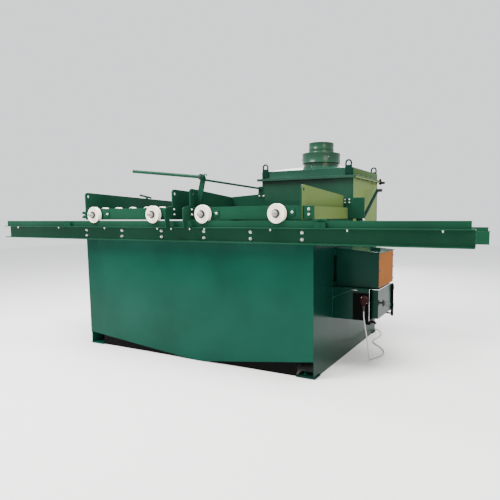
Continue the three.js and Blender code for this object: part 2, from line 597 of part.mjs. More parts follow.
// The leaning post on the right carriage with its stay, and the hand lever that turns on its top.
function handLever() {
  const foot = RIGHT.inner + PLATE.thick + GAP;
  const shape = outline([
    [foot, 1306], [foot + 45, 1306], [foot + 52, 1350], [LEVER.x + 24, LEVER.z - 8],
    [LEVER.x + 12, LEVER.z + 20], [LEVER.x - 12, LEVER.z + 20], [LEVER.x - 22, LEVER.z - 2],
    [foot, 1360],
  ]);
  const pinHole = rod(LEVER.pinR + 0.5, -5, 40, "y", [LEVER.x, 0, LEVER.z]);
  const base = box(foot, foot + 60, 9, 60, BEAM.z1 + GAP, BEAM.z1 + 12);
  const post = join(plateXZ(shape, 12, 22), base);
  const stay = bar(9, [LEVER.x + 12, 20, LEVER.z - 22], [1625, WALL.y - 5, 1472]);
  const pad = box(1610, 1640, WALL.y - 9, WALL.y - GAP, 1457, 1487);
  add("lever_post", join(cut(post, pinHole), stay, pad), enamel);
  const at = [LEVER.x, 0, LEVER.z];
  const end = [LEVER.x - LEVER.reach, -6, LEVER.z + LEVER.rise];
  const handle = join(
    rod(24, -20, 12 - GAP, "y", at), rod(LEVER.pinR, -26, 34, "y", at), rod(14, 22 + GAP, 32, "y", at, 6),
    bar(LEVER.tube, [LEVER.x - 8, -6, LEVER.z + 1], end, 12),
  );
  add("hand_lever", handle, enamel);
}

// ---- sanding unit -------------------------------------------------------------------------------
// Two long bars with bearing blocks between the left end plate and the cross beam, and the motor's shelf.
function sanderFrame() {
  const x0 = TANK.sheet + GAP;
  const x1 = 1270 - GAP;
  const z = DRUM.z;
  const bars = [[70, 100], [540, 570]].map(([y0, y1]) => box(x0, x1, y0, y1, 920, 950));
  const blocks = [DRUM.drive, DRUM.idle].flatMap((x) => [[70, 100], [540, 570]].map(([y0, y1]) => {
    const block = box(x - 50, x + 50, y0, y1, 949, z + 40);
    return cut(block, rod(DRUM.shaft + 0.5, y0 - 2, y1 + 2, "y", [x, 0, z]));
  }));
  const hangers = [[70, 100], [540, 570]].map(([y0, y1]) => (
    box(MOTOR.x + 120, MOTOR.x + 150, y0, y1, 470, 930)
  ));
  const shelf = box(MOTOR.x - 140, MOTOR.x + 150, 70, 570, 470, 490);
  add("sander_frame", join(...bars, ...blocks, ...hangers, shelf), castIron);
}

function drums() {
  const { r, y0, y1, z, drive, idle, shaft } = DRUM;
  const drum = (x, tail) => join(rod(r, y0, y1, "y", [x, 0, z], 24), rod(shaft, 60, tail, "y", [x, 0, z]));
  add("drive_drum", drum(drive, SHEAVE.y - SHEAVE.half - GAP), steel);
  add("idler_drum", drum(idle, 580), steel);
  const belt = new THREE.Shape();
  const loop = (path, radius) => {
    path.absarc(idle, z, radius, -Math.PI / 2, Math.PI / 2, false);
    path.absarc(drive, z, radius, Math.PI / 2, (3 * Math.PI) / 2, false);
    path.closePath();
  };
  loop(belt, r + 4);
  const inside = new THREE.Path();
  loop(inside, r + 1);
  belt.holes.push(inside);
  const sheet = extrude(belt, y1 - y0 - 10, 9);
  const turn = new THREE.Matrix4().set(1, 0, 0, 0, 0, 0, -1, y1 - 5, 0, 1, 0, 0, 0, 0, 0, 1);
  add("sanding_belt", sheet.applyMatrix4(turn), abrasive);
}

function motorDrive() {
  const { x, z, r, y0, y1, shaft } = MOTOR;
  const foot = box(x - 90, x + 90, y0 + 60, y1 - 60, 490 + GAP, z - 40);
  add("motor", join(rod(r, y0, y1 - 20, "y", [x, 0, z], 20), foot), castIron);
  const sheave = (radius, at, from) => {
    const { y, half } = SHEAVE;
    const rim = turned([
      [0, y - half], [radius, y - half], [radius - 9, y], [radius, y + half], [0, y + half],
    ], "y", [at[0], 0, at[1]], 22);
    return join(rim, rod(shaft, from, y + half + 6, "y", [at[0], 0, at[1]]));
  };
  add("motor_pulley", sheave(SHEAVE.motor, [x, z], y1 - 20 + GAP), steel);
  add("drum_pulley", sheave(SHEAVE.drum, [DRUM.drive, DRUM.z], SHEAVE.y - SHEAVE.half), steel);
  const belt = new THREE.Shape();
  const loop = (path, grow) => {
    path.absarc(x, DRUM.z, SHEAVE.drum - 9 + grow, 0, Math.PI, false);
    path.absarc(x, z, SHEAVE.motor - 9 + grow, Math.PI, 2 * Math.PI, false);
    path.closePath();
  };
  loop(belt, 10);
  const inside = new THREE.Path();
  loop(inside, 4);
  belt.holes.push(inside);
  const sheet = extrude(belt, 4);
  const turn = new THREE.Matrix4().set(1, 0, 0, 0, 0, 0, -1, SHEAVE.y + 2, 0, 1, 0, 0, 0, 0, 0, 1);
  add("drive_belt", sheet.applyMatrix4(turn), blackRubber);
}

// ---- the machine --------------------------------------------------------------------------------
frontPanel();
rearPanel();
endPlate("tank_left_end", 0, 1, null);
endPlate("tank_right_end", TANK.w, -1, join(sideWindow(), outletWindow()));
hopperFloor();
innerFrame();
frontRail();
rearRail();
railStop("rail_stop_left", -189, -104);
railStop("rail_stop_right", 2429, 2514);
hood();
hoodCover();
duct();
damper();
sideBox();
outletBox();
door();
doorKnob();
powerInlet();
cable();
leftCarriage();
rollerBed();
rightCarriage();
handLever();
sanderFrame();
drums();
motorDrive();

export default machine;
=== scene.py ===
"""Looks of a rail-carriage wood surfacing machine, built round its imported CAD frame.

Places are in the machine's own layout, in millimetres: x runs from the tank's left end along the rails,
y from the tank's front to the back, and z up from the floor. at() turns them into the frame's metres.
"""
import json
import math

import bmesh
import bpy
from mathutils import Matrix, Vector


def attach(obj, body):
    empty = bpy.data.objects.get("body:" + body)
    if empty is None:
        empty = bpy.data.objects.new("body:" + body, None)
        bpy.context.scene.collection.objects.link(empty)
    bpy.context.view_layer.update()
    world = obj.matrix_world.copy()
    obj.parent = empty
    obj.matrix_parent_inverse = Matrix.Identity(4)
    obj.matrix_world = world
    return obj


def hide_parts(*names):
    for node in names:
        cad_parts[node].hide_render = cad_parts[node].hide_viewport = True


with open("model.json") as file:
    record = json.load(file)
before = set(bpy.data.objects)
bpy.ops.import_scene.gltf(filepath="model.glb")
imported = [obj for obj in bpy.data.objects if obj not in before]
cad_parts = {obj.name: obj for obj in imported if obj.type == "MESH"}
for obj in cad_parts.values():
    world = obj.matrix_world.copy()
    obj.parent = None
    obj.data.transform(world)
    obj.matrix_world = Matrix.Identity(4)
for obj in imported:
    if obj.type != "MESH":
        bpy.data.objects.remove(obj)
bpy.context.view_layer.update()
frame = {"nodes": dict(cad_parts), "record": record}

# ---- the machine's layout, in millimetres ----------------------------------------------------------
ORIGIN = Vector((1187.5, 747.5, 0))
TANK_W, TANK_D = 2380, 1605
WEB_Y = -40                      # face of the front rail's web
ANGLE_Y = -68                    # the upright leg that the grooved wheels run on
RAIL_BOLTS = (60, 517, 979, 1428, 1871, 2309)
WHEEL_Z, WHEEL_HALF = 1243.3, 18
FRONT_WHEELS = {"left": (205, 921), "right": (1444, 2119)}
REAR_WHEELS = {"left": (1470, 1178.3), "right": (612, 1178.3)}
ROLLERS = (225, 400, 575, 750, 925)
ROLLER_AT = (40, 1268)
HOOD = dict(x0=1450, x1=2381, y0=859, y1=1606, lip=39, flange=1562, top=1655)
DUCT = (1915, 1232)
DRUM_Z, DRIVE_X, IDLE_X = 1068, 420, 1010
MOTOR_Z, SHEAVE_Y = 620, 610
LEVER = (1390, 1543)
DAMPER = (2426, 973, 1187)
DOOR_FACE = 2746
HINGE = (2752, 846, 0)
KNOB = (510, 528)
INLET = (2655, 345, 567)
CABLE_D = 10
CABLE_ROUTE = [
    (2655, 345, 481.4), (2656, 346, 440), (2662, 362, 360), (2666, 395, 270), (2663, 440, 180),
    (2652, 495, 100), (2641, 550, 45), (2634, 606, 15), (2638, 655, 6), (2658, 712, 5.2), (2682, 790, 5.2),
    (2672, 890, 5.2), (2628, 985, 5.2), (2560, 1075, 5.2), (2500, 1150, 5.2), (2474, 1230, 5.2),
    (2482, 1315, 5.2), (2490, 1400, 5.2), (2478, 1490, 5.2), (2440, 1590, 5.2), (2380, 1665, 5.2),
    (2300, 1702, 5.2), (2235, 1708, 5.2),
]
COIL = dict(x=2150, y=1780.3, outer=72.3, inner=41.7, pitch=10.2, z=5.2)
PLUG_AT = (2096.3, 1714.3, 30.2)
# The camera's place is in the layout's millimetres, and its angles are in degrees.
CAMERA = dict(place=(3712.0, -2957.4, 1217.15), yaw=25.951, pitch=5.606, roll=-0.24, lens=32.17,
              shift=(-0.1001, 0.0217))
# -----------------------------------------------------------------------------------------------------


def at(x, y, z):
    """A place in the layout as a point in the frame, in metres."""
    return (Vector((x, y, z)) - ORIGIN) / 1000


# ---- camera, floor and light ------------------------------------------------------------------------
def look(place, forward, roll):
    """The matrix of a camera at place that looks along forward."""
    side = forward.cross(Vector((0, 0, 1))).normalized()
    turn = Matrix((side, side.cross(forward), -forward)).transposed().to_4x4()
    return Matrix.Translation(place) @ turn @ Matrix.Rotation(roll, 4, "Z")


def set_camera():
    yaw, pitch, roll = (math.radians(CAMERA[k]) for k in ("yaw", "pitch", "roll"))
    forward = Vector((-math.sin(yaw) * math.cos(pitch), math.cos(yaw) * math.cos(pitch), -math.sin(pitch)))
    data = bpy.data.cameras.new("camera")
    data.sensor_width, data.lens = 36, CAMERA["lens"]
    data.shift_x, data.shift_y = CAMERA["shift"]
    camera = bpy.data.objects.new("camera", data)
    camera.matrix_world = look(at(*CAMERA["place"]), forward, roll)
    bpy.context.collection.objects.link(camera)
    bpy.context.scene.camera = camera


def area_light(name, place, aim, size, power, colour=(1, 1, 1)):
    data = bpy.data.lights.new(name, "AREA")
    data.shape, data.size, data.energy, data.color = "SQUARE", size, power, colour
    light = bpy.data.objects.new(name, data)
    light.matrix_world = look(Vector(place), (Vector(aim) - Vector(place)).normalized(), 0)
    bpy.context.collection.objects.link(light)


def set_studio():
    world = bpy.data.worlds.new("studio")
    world.use_nodes = True
    back = world.node_tree.nodes["Background"]
    back.inputs["Color"].default_value = (0.96, 0.98, 1.0, 1)
    back.inputs["Strength"].default_value = 1.35
    bpy.context.scene.world = world
    middle = (0, 0, 0.9)
    area_light("key", (-2.4, -3.4, 5.6), middle, 2.6, 720)
    area_light("fill", (5.2, -3.4, 3.4), middle, 2.6, 130, (1, 0.86, 0.62))
    area_light("top", (0.8, -0.6, 6.0), middle, 3.0, 600)
    area_light("back", (-1.5, 6.0, 3.4), middle, 3.0, 200)
    mesh = bpy.data.meshes.new("studio_floor")
    half = 16
    corners = [(-half, -half, 0), (half, -half, 0), (half, half, 0), (-half, half, 0)]
    mesh.from_pydata(corners, [], [(0, 1, 2, 3)])
    floor = bpy.data.objects.new("studio_floor", mesh)
    bpy.context.collection.objects.link(floor)
    material, shader, n = principled("floor_paper", (0.88, 0.88, 0.87), 0.75)
    n.bump(shader, n.noise(3.0, 2), 0.02, 0.01)
    mesh.materials.append(material)


# ---- materials --------------------------------------------------------------------------------------
class Nodes:
    """Short ways to add shader nodes to one material. Patterns are in metres, from the object's own place."""

    def __init__(self, material):
        self.tree = material.node_tree
        self.place = self.tree.nodes.new("ShaderNodeTexCoord")

    def link(self, a, b):
        self.tree.links.new(a, b)

    def stretched(self, scale):
        mapping = self.tree.nodes.new("ShaderNodeMapping")
        mapping.inputs["Scale"].default_value = scale
        self.link(self.place.outputs["Object"], mapping.inputs["Vector"])
        return mapping.outputs["Vector"]

    def noise(self, scale, detail, roughness=0.5, stretch=None):
        node = self.tree.nodes.new("ShaderNodeTexNoise")
        node.inputs["Scale"].default_value = scale
        node.inputs["Detail"].default_value = detail
        node.inputs["Roughness"].default_value = roughness
        self.link(self.stretched(stretch) if stretch else self.place.outputs["Object"], node.inputs["Vector"])
        return node.outputs["Fac"]

    def grains(self, scale):
        node = self.tree.nodes.new("ShaderNodeTexVoronoi")
        node.inputs["Scale"].default_value = scale
        self.link(self.place.outputs["Object"], node.inputs["Vector"])
        return node.outputs["Distance"]

    def spread(self, value, low, high, to_low, to_high):
        node = self.tree.nodes.new("ShaderNodeMapRange")
        for name, number in (("From Min", low), ("From Max", high), ("To Min", to_low), ("To Max", to_high)):
            node.inputs[name].default_value = number
        self.link(value, node.inputs["Value"])
        return node.outputs["Result"]

    def colours(self, value, stops):
        ramp = self.tree.nodes.new("ShaderNodeValToRGB")
        elements = ramp.color_ramp.elements
        for element, (place, colour) in zip(elements, (stops[0], stops[-1])):
            element.position, element.color = place, (*colour, 1)
        for place, colour in stops[1:-1]:
            elements.new(place).color = (*colour, 1)
        self.link(value, ramp.inputs["Fac"])
        return ramp.outputs["Color"]

    def right_faces(self):
        """1 on faces that look along +X, the machine's right, and 0 on the others."""
        # This mask picks the faces where warm light is painted into the enamel's colour.
        parts = self.tree.nodes.new("ShaderNodeSeparateXYZ")
        self.link(self.place.outputs["Normal"], parts.inputs["Vector"])
        return self.spread(parts.outputs["X"], 0.7, 0.9, 0.0, 1.0)

    def mixed(self, factor, a, b):
        """The colour from socket a where factor is 0, and the plain colour b where it is 1."""
        node = self.tree.nodes.new("ShaderNodeMixRGB")
        node.inputs["Color2"].default_value = (*b, 1)
        self.link(factor, node.inputs["Fac"])
        self.link(a, node.inputs["Color1"])
        return node.outputs["Color"]

    def bump(self, shader, height, strength, distance):
        node = self.tree.nodes.new("ShaderNodeBump")
        node.inputs["Strength"].default_value = strength
        node.inputs["Distance"].default_value = distance
        self.link(height, node.inputs["Height"])
        target = shader.inputs["Normal"]
        if target.links:
            self.link(target.links[0].from_socket, node.inputs["Normal"])
        self.link(node.outputs["Normal"], target)


def principled(name, colour, roughness, metallic=0.0, specular=0.5):
    material = bpy.data.materials.new(name)
    material.use_nodes = True
    shader = material.node_tree.nodes["Principled BSDF"]
    shader.inputs["Base Color"].default_value = (*colour, 1)
    shader.inputs["Roughness"].default_value = roughness
    shader.inputs["Metallic"].default_value = metallic
    shader.inputs["Specular IOR Level"].default_value = specular
    return material, shader, Nodes(material)


def shade(colour, factor):
    return tuple(c * factor for c in colour)


def make_enamel(name, colour, wave=0.004, gloss=0.07, right=None):
    """Sprayed gloss enamel on sheet steel: slow colour drift, orange peel, dust and a faint waviness.

    right, where given, is a yellower, duller colour on the faces that look to the machine's right: painted
    warm light falling on that side, not a colour of the paint.
    """
    material, shader, n = principled(name, colour, 0.2, specular=gloss)
    drift = n.noise(2.3, 3, 0.55)
    dusty = (colour[0] * 1.3 + 0.001, colour[1] * 1.12 + 0.001, colour[2] * 1.15 + 0.001)
    paint = n.colours(drift, [(0.3, shade(colour, 0.82)), (0.52, colour), (0.75, dusty)])
    if right:
        # Painted warm light: faces that look to the right get a yellower colour and less gloss.
        warm_light_mask = n.right_faces()
        paint = n.mixed(warm_light_mask, paint, right)
        n.link(n.spread(warm_light_mask, 0, 1, gloss, 0.015), shader.inputs["Specular IOR Level"])
    n.link(paint, shader.inputs["Base Color"])
    smears = n.noise(7.0, 6, 0.65, (1, 1, 0.35))
    n.link(n.spread(smears, 0.3, 0.72, 0.2, 0.27), shader.inputs["Roughness"])
    n.bump(shader, n.noise(330, 2), 0.02, 0.0005)
    n.bump(shader, n.noise(2.6, 1), 0.35, wave)
    return material


def make_metal(name, colour, roughness, grain=(1, 1, 1), scale=180):
    """Plated or turned metal, with its grain stretched along one axis where it is turned."""
    material, shader, n = principled(name, colour, roughness, metallic=1.0)
    lines = n.noise(scale, 4, 0.6, grain)
    n.link(n.colours(lines, [(0.3, shade(colour, 0.78)), (0.7, shade(colour, 1.12))]),
           shader.inputs["Base Color"])
    n.link(n.spread(n.noise(25, 4), 0.3, 0.7, roughness * 0.75, roughness * 1.4), shader.inputs["Roughness"])
    n.bump(shader, lines, 0.12, 0.0004)
    return material


def make_moulded(name, colour, roughness, scale=600, tint=0.12, depth=0.0003, specular=0.4):
    """Moulded or turned plastic and rubber: fine grain, and a slow change of tone from handling."""
    material, shader, n = principled(name, colour, roughness, specular=specular)
    tone = n.noise(18, 4, 0.6)
    n.link(n.colours(tone, [(0.3, shade(colour, 1 - tint)), (0.7, shade(colour, 1 + tint))]),
           shader.inputs["Base Color"])
    n.link(n.spread(n.noise(40, 3), 0.3, 0.7, roughness * 0.8, roughness * 1.25), shader.inputs["Roughness"])
    n.bump(shader, n.noise(scale, 2), 0.25, depth)
    return material


def make_cast(name, colour):
    """Painted cast iron: coarse, pitted grain and uneven tone."""
    material, shader, n = principled(name, colour, 0.55, metallic=0.35)
    n.link(n.colours(n.noise(30, 5, 0.6), [(0.3, shade(colour, 0.75)), (0.7, shade(colour, 1.25))]),
           shader.inputs["Base Color"])
    n.bump(shader, n.grains(260), 0.35, 0.0006)
    n.bump(shader, n.noise(45, 3), 0.3, 0.0015)
    return material


def make_abrasive(name):
    """Resin-bonded grit on cloth."""
    material, shader, n = principled(name, (0.2, 0.07, 0.035), 0.9, specular=0.25)
    grit = n.grains(900)
    n.link(n.colours(grit, [(0.1, (0.33, 0.15, 0.09)), (0.5, (0.17, 0.06, 0.03)), (0.9, (0.08, 0.03, 0.02))]),
           shader.inputs["Base Color"])
    n.bump(shader, grit, 0.6, 0.0008)
    return material


GREEN = (0.001, 0.044, 0.027)
M = {}
# The record's finish that each material stands for.
SLOT = {
    **dict.fromkeys(("enamel", "rail", "plate", "side_plate", "hood", "cover", "duct", "dark", "matt",
                     "orange"), "green_enamel"),
    **dict.fromkeys(("zinc", "steel", "dull", "brass"), "bright_steel"),
    "black_paint": "black_paint", "nylon": "nylon", "cast": "cast_grey", "black": "black_plastic",
    "red": "red_plastic", "cable": "cable_grey", "abrasive": "abrasive_belt", "rubber": "black_rubber",
}


def make_materials():
    M["enamel"] = make_enamel("green_enamel", GREEN)
    M["rail"] = make_enamel("rail_enamel", (0.006, 0.046, 0.024), 0.0015)
    M["plate"] = make_enamel("plate_enamel", (0.007, 0.04, 0.023), 0.002)
    # These three copies carry painted warm light: a yellower colour on their right-facing faces.
    M["side_plate"] = make_enamel("side_plate_enamel_warm_lit", (0.007, 0.04, 0.023), 0.002, right=(0.1, 0.15, 0.045))
    M["hood"] = make_enamel("hood_enamel_warm_lit", (0.01, 0.046, 0.026), 0.003, 0.16, right=(0.13, 0.19, 0.055))
    M["cover"] = make_enamel("cover_enamel_warm_lit", (0.008, 0.043, 0.026), 0.003, 0.16, right=(0.05, 0.09, 0.035))
    M["duct"] = make_enamel("duct_enamel", (0.007, 0.046, 0.023), 0.001, 0.3)
    # Painted reflection: an orange colour that stands in for warm light reflected in the green side box's
    # right face.
    M["orange"] = make_enamel("painted_orange_reflection", (0.23, 0.09, 0.033), 0.001, 0.0)
    M["matt"] = make_moulded("matt_green", (0.006, 0.04, 0.022), 0.7, 300, specular=0.02)
    M["dark"] = make_enamel("shadow_enamel", (0.002, 0.02, 0.0135), 0.004)
    # Black paint on the real black parts, and also used as painted shade on the hopper floor.
    M["black_paint"] = make_moulded("black_paint", (0.001, 0.001, 0.0012), 0.6, 240, specular=0.05)
    M["nylon"] = make_moulded("cream_nylon", (0.9, 0.83, 0.7), 0.38, 420, 0.07)
    M["zinc"] = make_metal("zinc_plate", (0.8, 0.81, 0.79), 0.3, scale=420)
    M["steel"] = make_metal("turned_steel", (0.5, 0.48, 0.45), 0.3, (1, 0.08, 1), 500)
    M["dull"] = make_metal("dull_steel", (0.3, 0.3, 0.3), 0.45)
    M["cast"] = make_cast("cast_grey", (0.09, 0.095, 0.1))
    M["black"] = make_moulded("black_plastic", (0.012, 0.012, 0.013), 0.42)
    M["red"] = make_moulded("red_plastic", (0.016, 0.004, 0.005), 0.5, 500, 0.1, specular=0.05)
    M["cable"] = make_moulded("cable_grey", (0.3, 0.31, 0.3), 0.5, 700, 0.08)
    M["abrasive"] = make_abrasive("abrasive_belt")
    M["rubber"] = make_moulded("black_rubber", (0.014, 0.014, 0.014), 0.7, 500)
    M["brass"] = make_metal("brass_pins", (0.7, 0.5, 0.2), 0.3)


# ---- mesh work --------------------------------------------------------------------------------------
TURN_TO = {
    "x": Matrix(((0, 0, 1), (1, 0, 0), (0, 1, 0))),
    "y": Matrix(((1, 0, 0), (0, 0, 1), (0, -1, 0))),
    "z": Matrix.Identity(3),
}


class Piece:
    """One mesh in the making, in layout millimetres."""

    def __init__(self):
        self.bm = bmesh.new()

    def turned(self, profile, axis, place, segments=56, phase=0.0):
        """Turns [radius, distance along the axis] points round the axis through place."""
        turn = axis if isinstance(axis, Matrix) else TURN_TO[axis]
        rings = []
        for radius, along in profile:
            if radius < 1e-6:
                rings.append([self.bm.verts.new(turn @ Vector((0, 0, along)) + Vector(place))])
                continue
            angles = [phase + 2 * math.pi * i / segments for i in range(segments)]
            spots = [Vector((radius * math.cos(a), radius * math.sin(a), along)) for a in angles]
            rings.append([self.bm.verts.new(turn @ p + Vector(place)) for p in spots])
        for low, high in zip(rings, rings[1:]):
            for i in range(segments):
                j = (i + 1) % segments
                corners = [low[i % len(low)], low[j % len(low)], high[j % len(high)], high[i % len(high)]]
                corners = list(dict.fromkeys(corners))
                if len(corners) > 2:
                    self.bm.faces.new(corners)
        return self

    def box(self, x0, x1, y0, y1, z0, z1, turn=None, about=None):
        made = bmesh.ops.create_cube(self.bm, size=1)["verts"]
        size, middle = Vector((x1 - x0, y1 - y0, z1 - z0)), Vector((x0 + x1, y0 + y1, z0 + z1)) / 2
        for v in made:
            v.co = Vector(v.co[k] * size[k] + middle[k] for k in range(3))
            if turn is not None:
                v.co = turn @ (v.co - Vector(about)) + Vector(about)
        return self

    def tube(self, points, radius, segments=10, swell=None, closed=False):
        """A round bar along points. swell(i) scales the radius at point i."""
        points = [Vector(p) for p in points]
        rings = []
        side = None
        for i, p in enumerate(points):
            ahead = points[(i + 1) % len(points)] if closed else points[min(i + 1, len(points) - 1)]
            behind = points[i - 1] if closed else points[max(i - 1, 0)]
            run = (ahead - behind).normalized()
            if side is None:
                side = run.orthogonal().normalized()
            side = (side - run * side.dot(run)).normalized()
            other = run.cross(side)
            r = radius * (swell(i) if swell else 1)
            angles = [2 * math.pi * k / segments for k in range(segments)]
            spots = [p + r * (side * math.cos(a) + other * math.sin(a)) for a in angles]
            rings.append([self.bm.verts.new(spot) for spot in spots])
        pairs = list(zip(rings, rings[1:])) + ([(rings[-1], rings[0])] if closed else [])
        for low, high in pairs:
            for k in range(segments):
                m = (k + 1) % segments
                self.bm.faces.new((low[k], low[m], high[m], high[k]))
        if not closed:
            self.bm.faces.new(rings[0][::-1])
            self.bm.faces.new(rings[-1])
        return self

    def weld(self, a, b, radius=3.2, step=5.0):
        """A hand-laid weld bead: overlapping ripples along a straight seam."""
        a, b = Vector(a), Vector(b)
        count = max(4, int((b - a).length / step) * 2)
        points = [a.lerp(b, i / count) for i in range(count + 1)]
        return self.tube(points, radius, 7, lambda i: 1.08 if i % 2 else 0.86)

    def bolt(self, place, axis, across=19, high=8, washer=None, dome=True):
        """A hex head with its chamfer, on a washer, and the bolt's rounded end."""
        turn = Vector((0, 0, 1)).rotation_difference(Vector(axis)).to_matrix()
        r = across / math.sqrt(3)
        base = 0
        if washer:
            self.turned([(0, 0), (washer, 0), (washer, 1.8), (washer - 0.7, 2.5), (0, 2.5)], turn, place, 24)
            base = 2.5
        head = [(0, base), (r, base), (r, base + high * 0.8), (r * 0.88, base + high), (0, base + high)]
        self.turned(head, turn, place, 6, 0.3)
        if dome:
            end = base + high
            s = r * 0.52
            self.turned([(s, end - 1), (s, end + 2.5), (s * 0.7, end + 4), (0, end + 4)], turn, place, 16)
        return self

    def finish(self, name, body, material, bevel=0.8, segments=2, replaces=(), smooth=38):
        """Makes the object, in metres, with eased edges, on its body."""
        bm = self.bm
        bmesh.ops.recalc_face_normals(bm, faces=bm.faces)
        bmesh.ops.transform(bm, matrix=Matrix.Scale(0.001, 4) @ Matrix.Translation(-ORIGIN), verts=bm.verts)
        mesh = bpy.data.meshes.new(name)
        bm.to_mesh(mesh)
        bm.free()
        return dress(mesh, name, body, material, bevel, segments, replaces, smooth)


def dress(mesh, name, body, material, bevel, segments, replaces, smooth):
    """Puts mesh in the scene with its material and eased edges, and ties it to its body and CAD nodes."""
    mesh.polygons.foreach_set("use_smooth", [True] * len(mesh.polygons))
    mesh.set_sharp_from_angle(angle=math.radians(smooth))
    mesh.materials.clear()
    mesh.materials.append(M[material])
    piece = bpy.data.objects.new(name, mesh)
    bpy.context.collection.objects.link(piece)
    if bevel:
        edge = piece.modifiers.new("eased_edges", "BEVEL")
        edge.width, edge.segments = bevel / 1000, segments
        edge.limit_method, edge.angle_limit = "ANGLE", math.radians(smooth)
        edge.harden_normals = True
    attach(piece, body)
    if replaces:
        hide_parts(*replaces)
    return piece


BODY_OF = {node: body for body, nodes in frame["record"]["behaviour"]["bodies"].items() for node in nodes}


def skin(node, material, bevel=1.2, segments=2, smooth=32, work=None):
    """The CAD node's own surface, with its flat faces made whole and its edges eased."""
    mesh = frame["nodes"][node].data.copy()
    bm = bmesh.new()
    bm.from_mesh(mesh)
    bmesh.ops.remove_doubles(bm, verts=bm.verts, dist=2e-5)
    bmesh.ops.dissolve_limit(bm, angle_limit=math.radians(0.4), verts=bm.verts, edges=bm.edges)
    if work:
        work(bm)
    bm.to_mesh(mesh)
    bm.free()
    return dress(mesh, node + "_skin", BODY_OF[node], material, bevel, segments, (node,), smooth)


# ---- tank and rails ---------------------------------------------------------------------------------
def belly(bm):
    """The big front sheet bows out a few millimetres between its stiff edges."""
    columns, row_height, sheet_top, bow = 16, 115, 0.97, 0.009
    cuts = [(at(TANK_W * k / columns, 0, 0), (1, 0, 0)) for k in range(1, columns)]
    cuts += [(at(0, 0, row_height * k), (0, 0, 1)) for k in range(1, 9)]
    for place, normal in cuts:
        everything = bm.verts[:] + bm.edges[:] + bm.faces[:]
        bmesh.ops.bisect_plane(bm, geom=everything, plane_co=place, plane_no=normal)
    for v in bm.verts:
        u = (v.co.x * 1000 + ORIGIN.x) / TANK_W
        w = v.co.z / sheet_top
        if 0 < u < 1 and 0 < w < 1 and v.co.y < at(0, 6, 0).y:
            v.co.y -= bow * math.sin(math.pi * u) ** 0.7 * math.sin(math.pi * min(1, w ** 0.8))


def build_tank():
    skin("tank_front_panel", "enamel", 1.0, work=belly)
    skin("tank_rear_panel", "enamel", 1.0)
    skin("tank_left_end", "enamel", 1.0)
    skin("tank_right_end", "dark", 1.0)
    # The hopper floor is painted black as painted shade, standing for the shadow in the gap under the front
    # panel.
    skin("hopper_floor", "black_paint", 0.8)
    skin("inner_frame", "plate", 1.5)
    seams = Piece()
    for x in (3.5, TANK_W - 3.5):
        seams.weld((x, 4, 150), (x, 4, 980), 2.6, 7)
        seams.weld((x, TANK_D - 4, 150), (x, TANK_D - 4, 940), 2.6, 7)
    seams.weld((TANK_W + 1.5, 428, 657), (TANK_W + 1.5, 428, 960), 3)
    seams.weld((TANK_W + 1.5, 374, 402), (TANK_W + 1.5, 374, 650), 3)
    for x, way in ((8, 1), (TANK_W - 8, -1)):
        for y in (116, TANK_D - 116):
            seams.weld((x, y, 12), (x + way * 136, y, 13), 2.5)
    seams.finish("tank_welds", "root", "enamel", 0)
    anchors = Piece()
    for x in (95, TANK_W - 95):
        for y in (60, TANK_D - 60):
            anchors.bolt((x, y, 12), (0, 0, 1), 19, 9, 14)
    anchors.finish("foot_bolts", "root", "enamel", 0.4)


def build_rails():
    skin("front_rail_channel", "rail", 1.6, 3)
    skin("front_rail_angle", "rail", 1.0)
    skin("rear_rail", "rail", 1.6, 3)
    skin("rail_stop_left", "matt", 1.5)
    skin("rail_stop_right", "matt", 1.5)
    web = Piece()
    for x in RAIL_BOLTS:
        for z in (1105, 1053):
            web.bolt((x, WEB_Y, z), (0, -1, 0), 19, 9, 13)
    web.finish("rail_web_bolts", "root", "zinc", 0.5)
    under = Piece()
    for x in (-906, -281, 344, 973, 1125, 1319, 1466, 2070, 2670, 3296):
        under.bolt((x, -82, 1130.5), (0, 0, -1), 12, 8, 8.5)
    under.finish("rail_flange_nuts", "root", "zinc", 0.3)
    rear = Piece()
    for x in RAIL_BOLTS:
        for z in (985, 1050):
            rear.bolt((x, 1445.2, z), (0, 1, 0), 24, 10, 17)
    rear.finish("rear_rail_bolts", "root", "zinc", 0.5)
    seams = Piece()
    for k in range(18):
        x = -1060 + 264 * k
        seams.weld((x, ANGLE_Y + 4.5, 1146.5), (x + 60, ANGLE_Y + 4.5, 1146.5), 2.4)
        seams.weld((x, 1449, 1079), (x + 60, 1449, 1079), 2.6)
        seams.weld((x, 1491, 1079), (x + 60, 1491, 1079), 2.6)
    seams.finish("rail_welds", "root", "rail", 0)
    clamp = Piece()
    clamp.box(2440, 2500, -72, -64, 1184, 1196).tube(
        [(2425, -92, 1190), (2450, -94, 1198), (2490, -98, 1201), (2530, -104, 1194)], 5, 12)
    clamp.finish("rail_stop_catch", "root", "matt", 0.8)


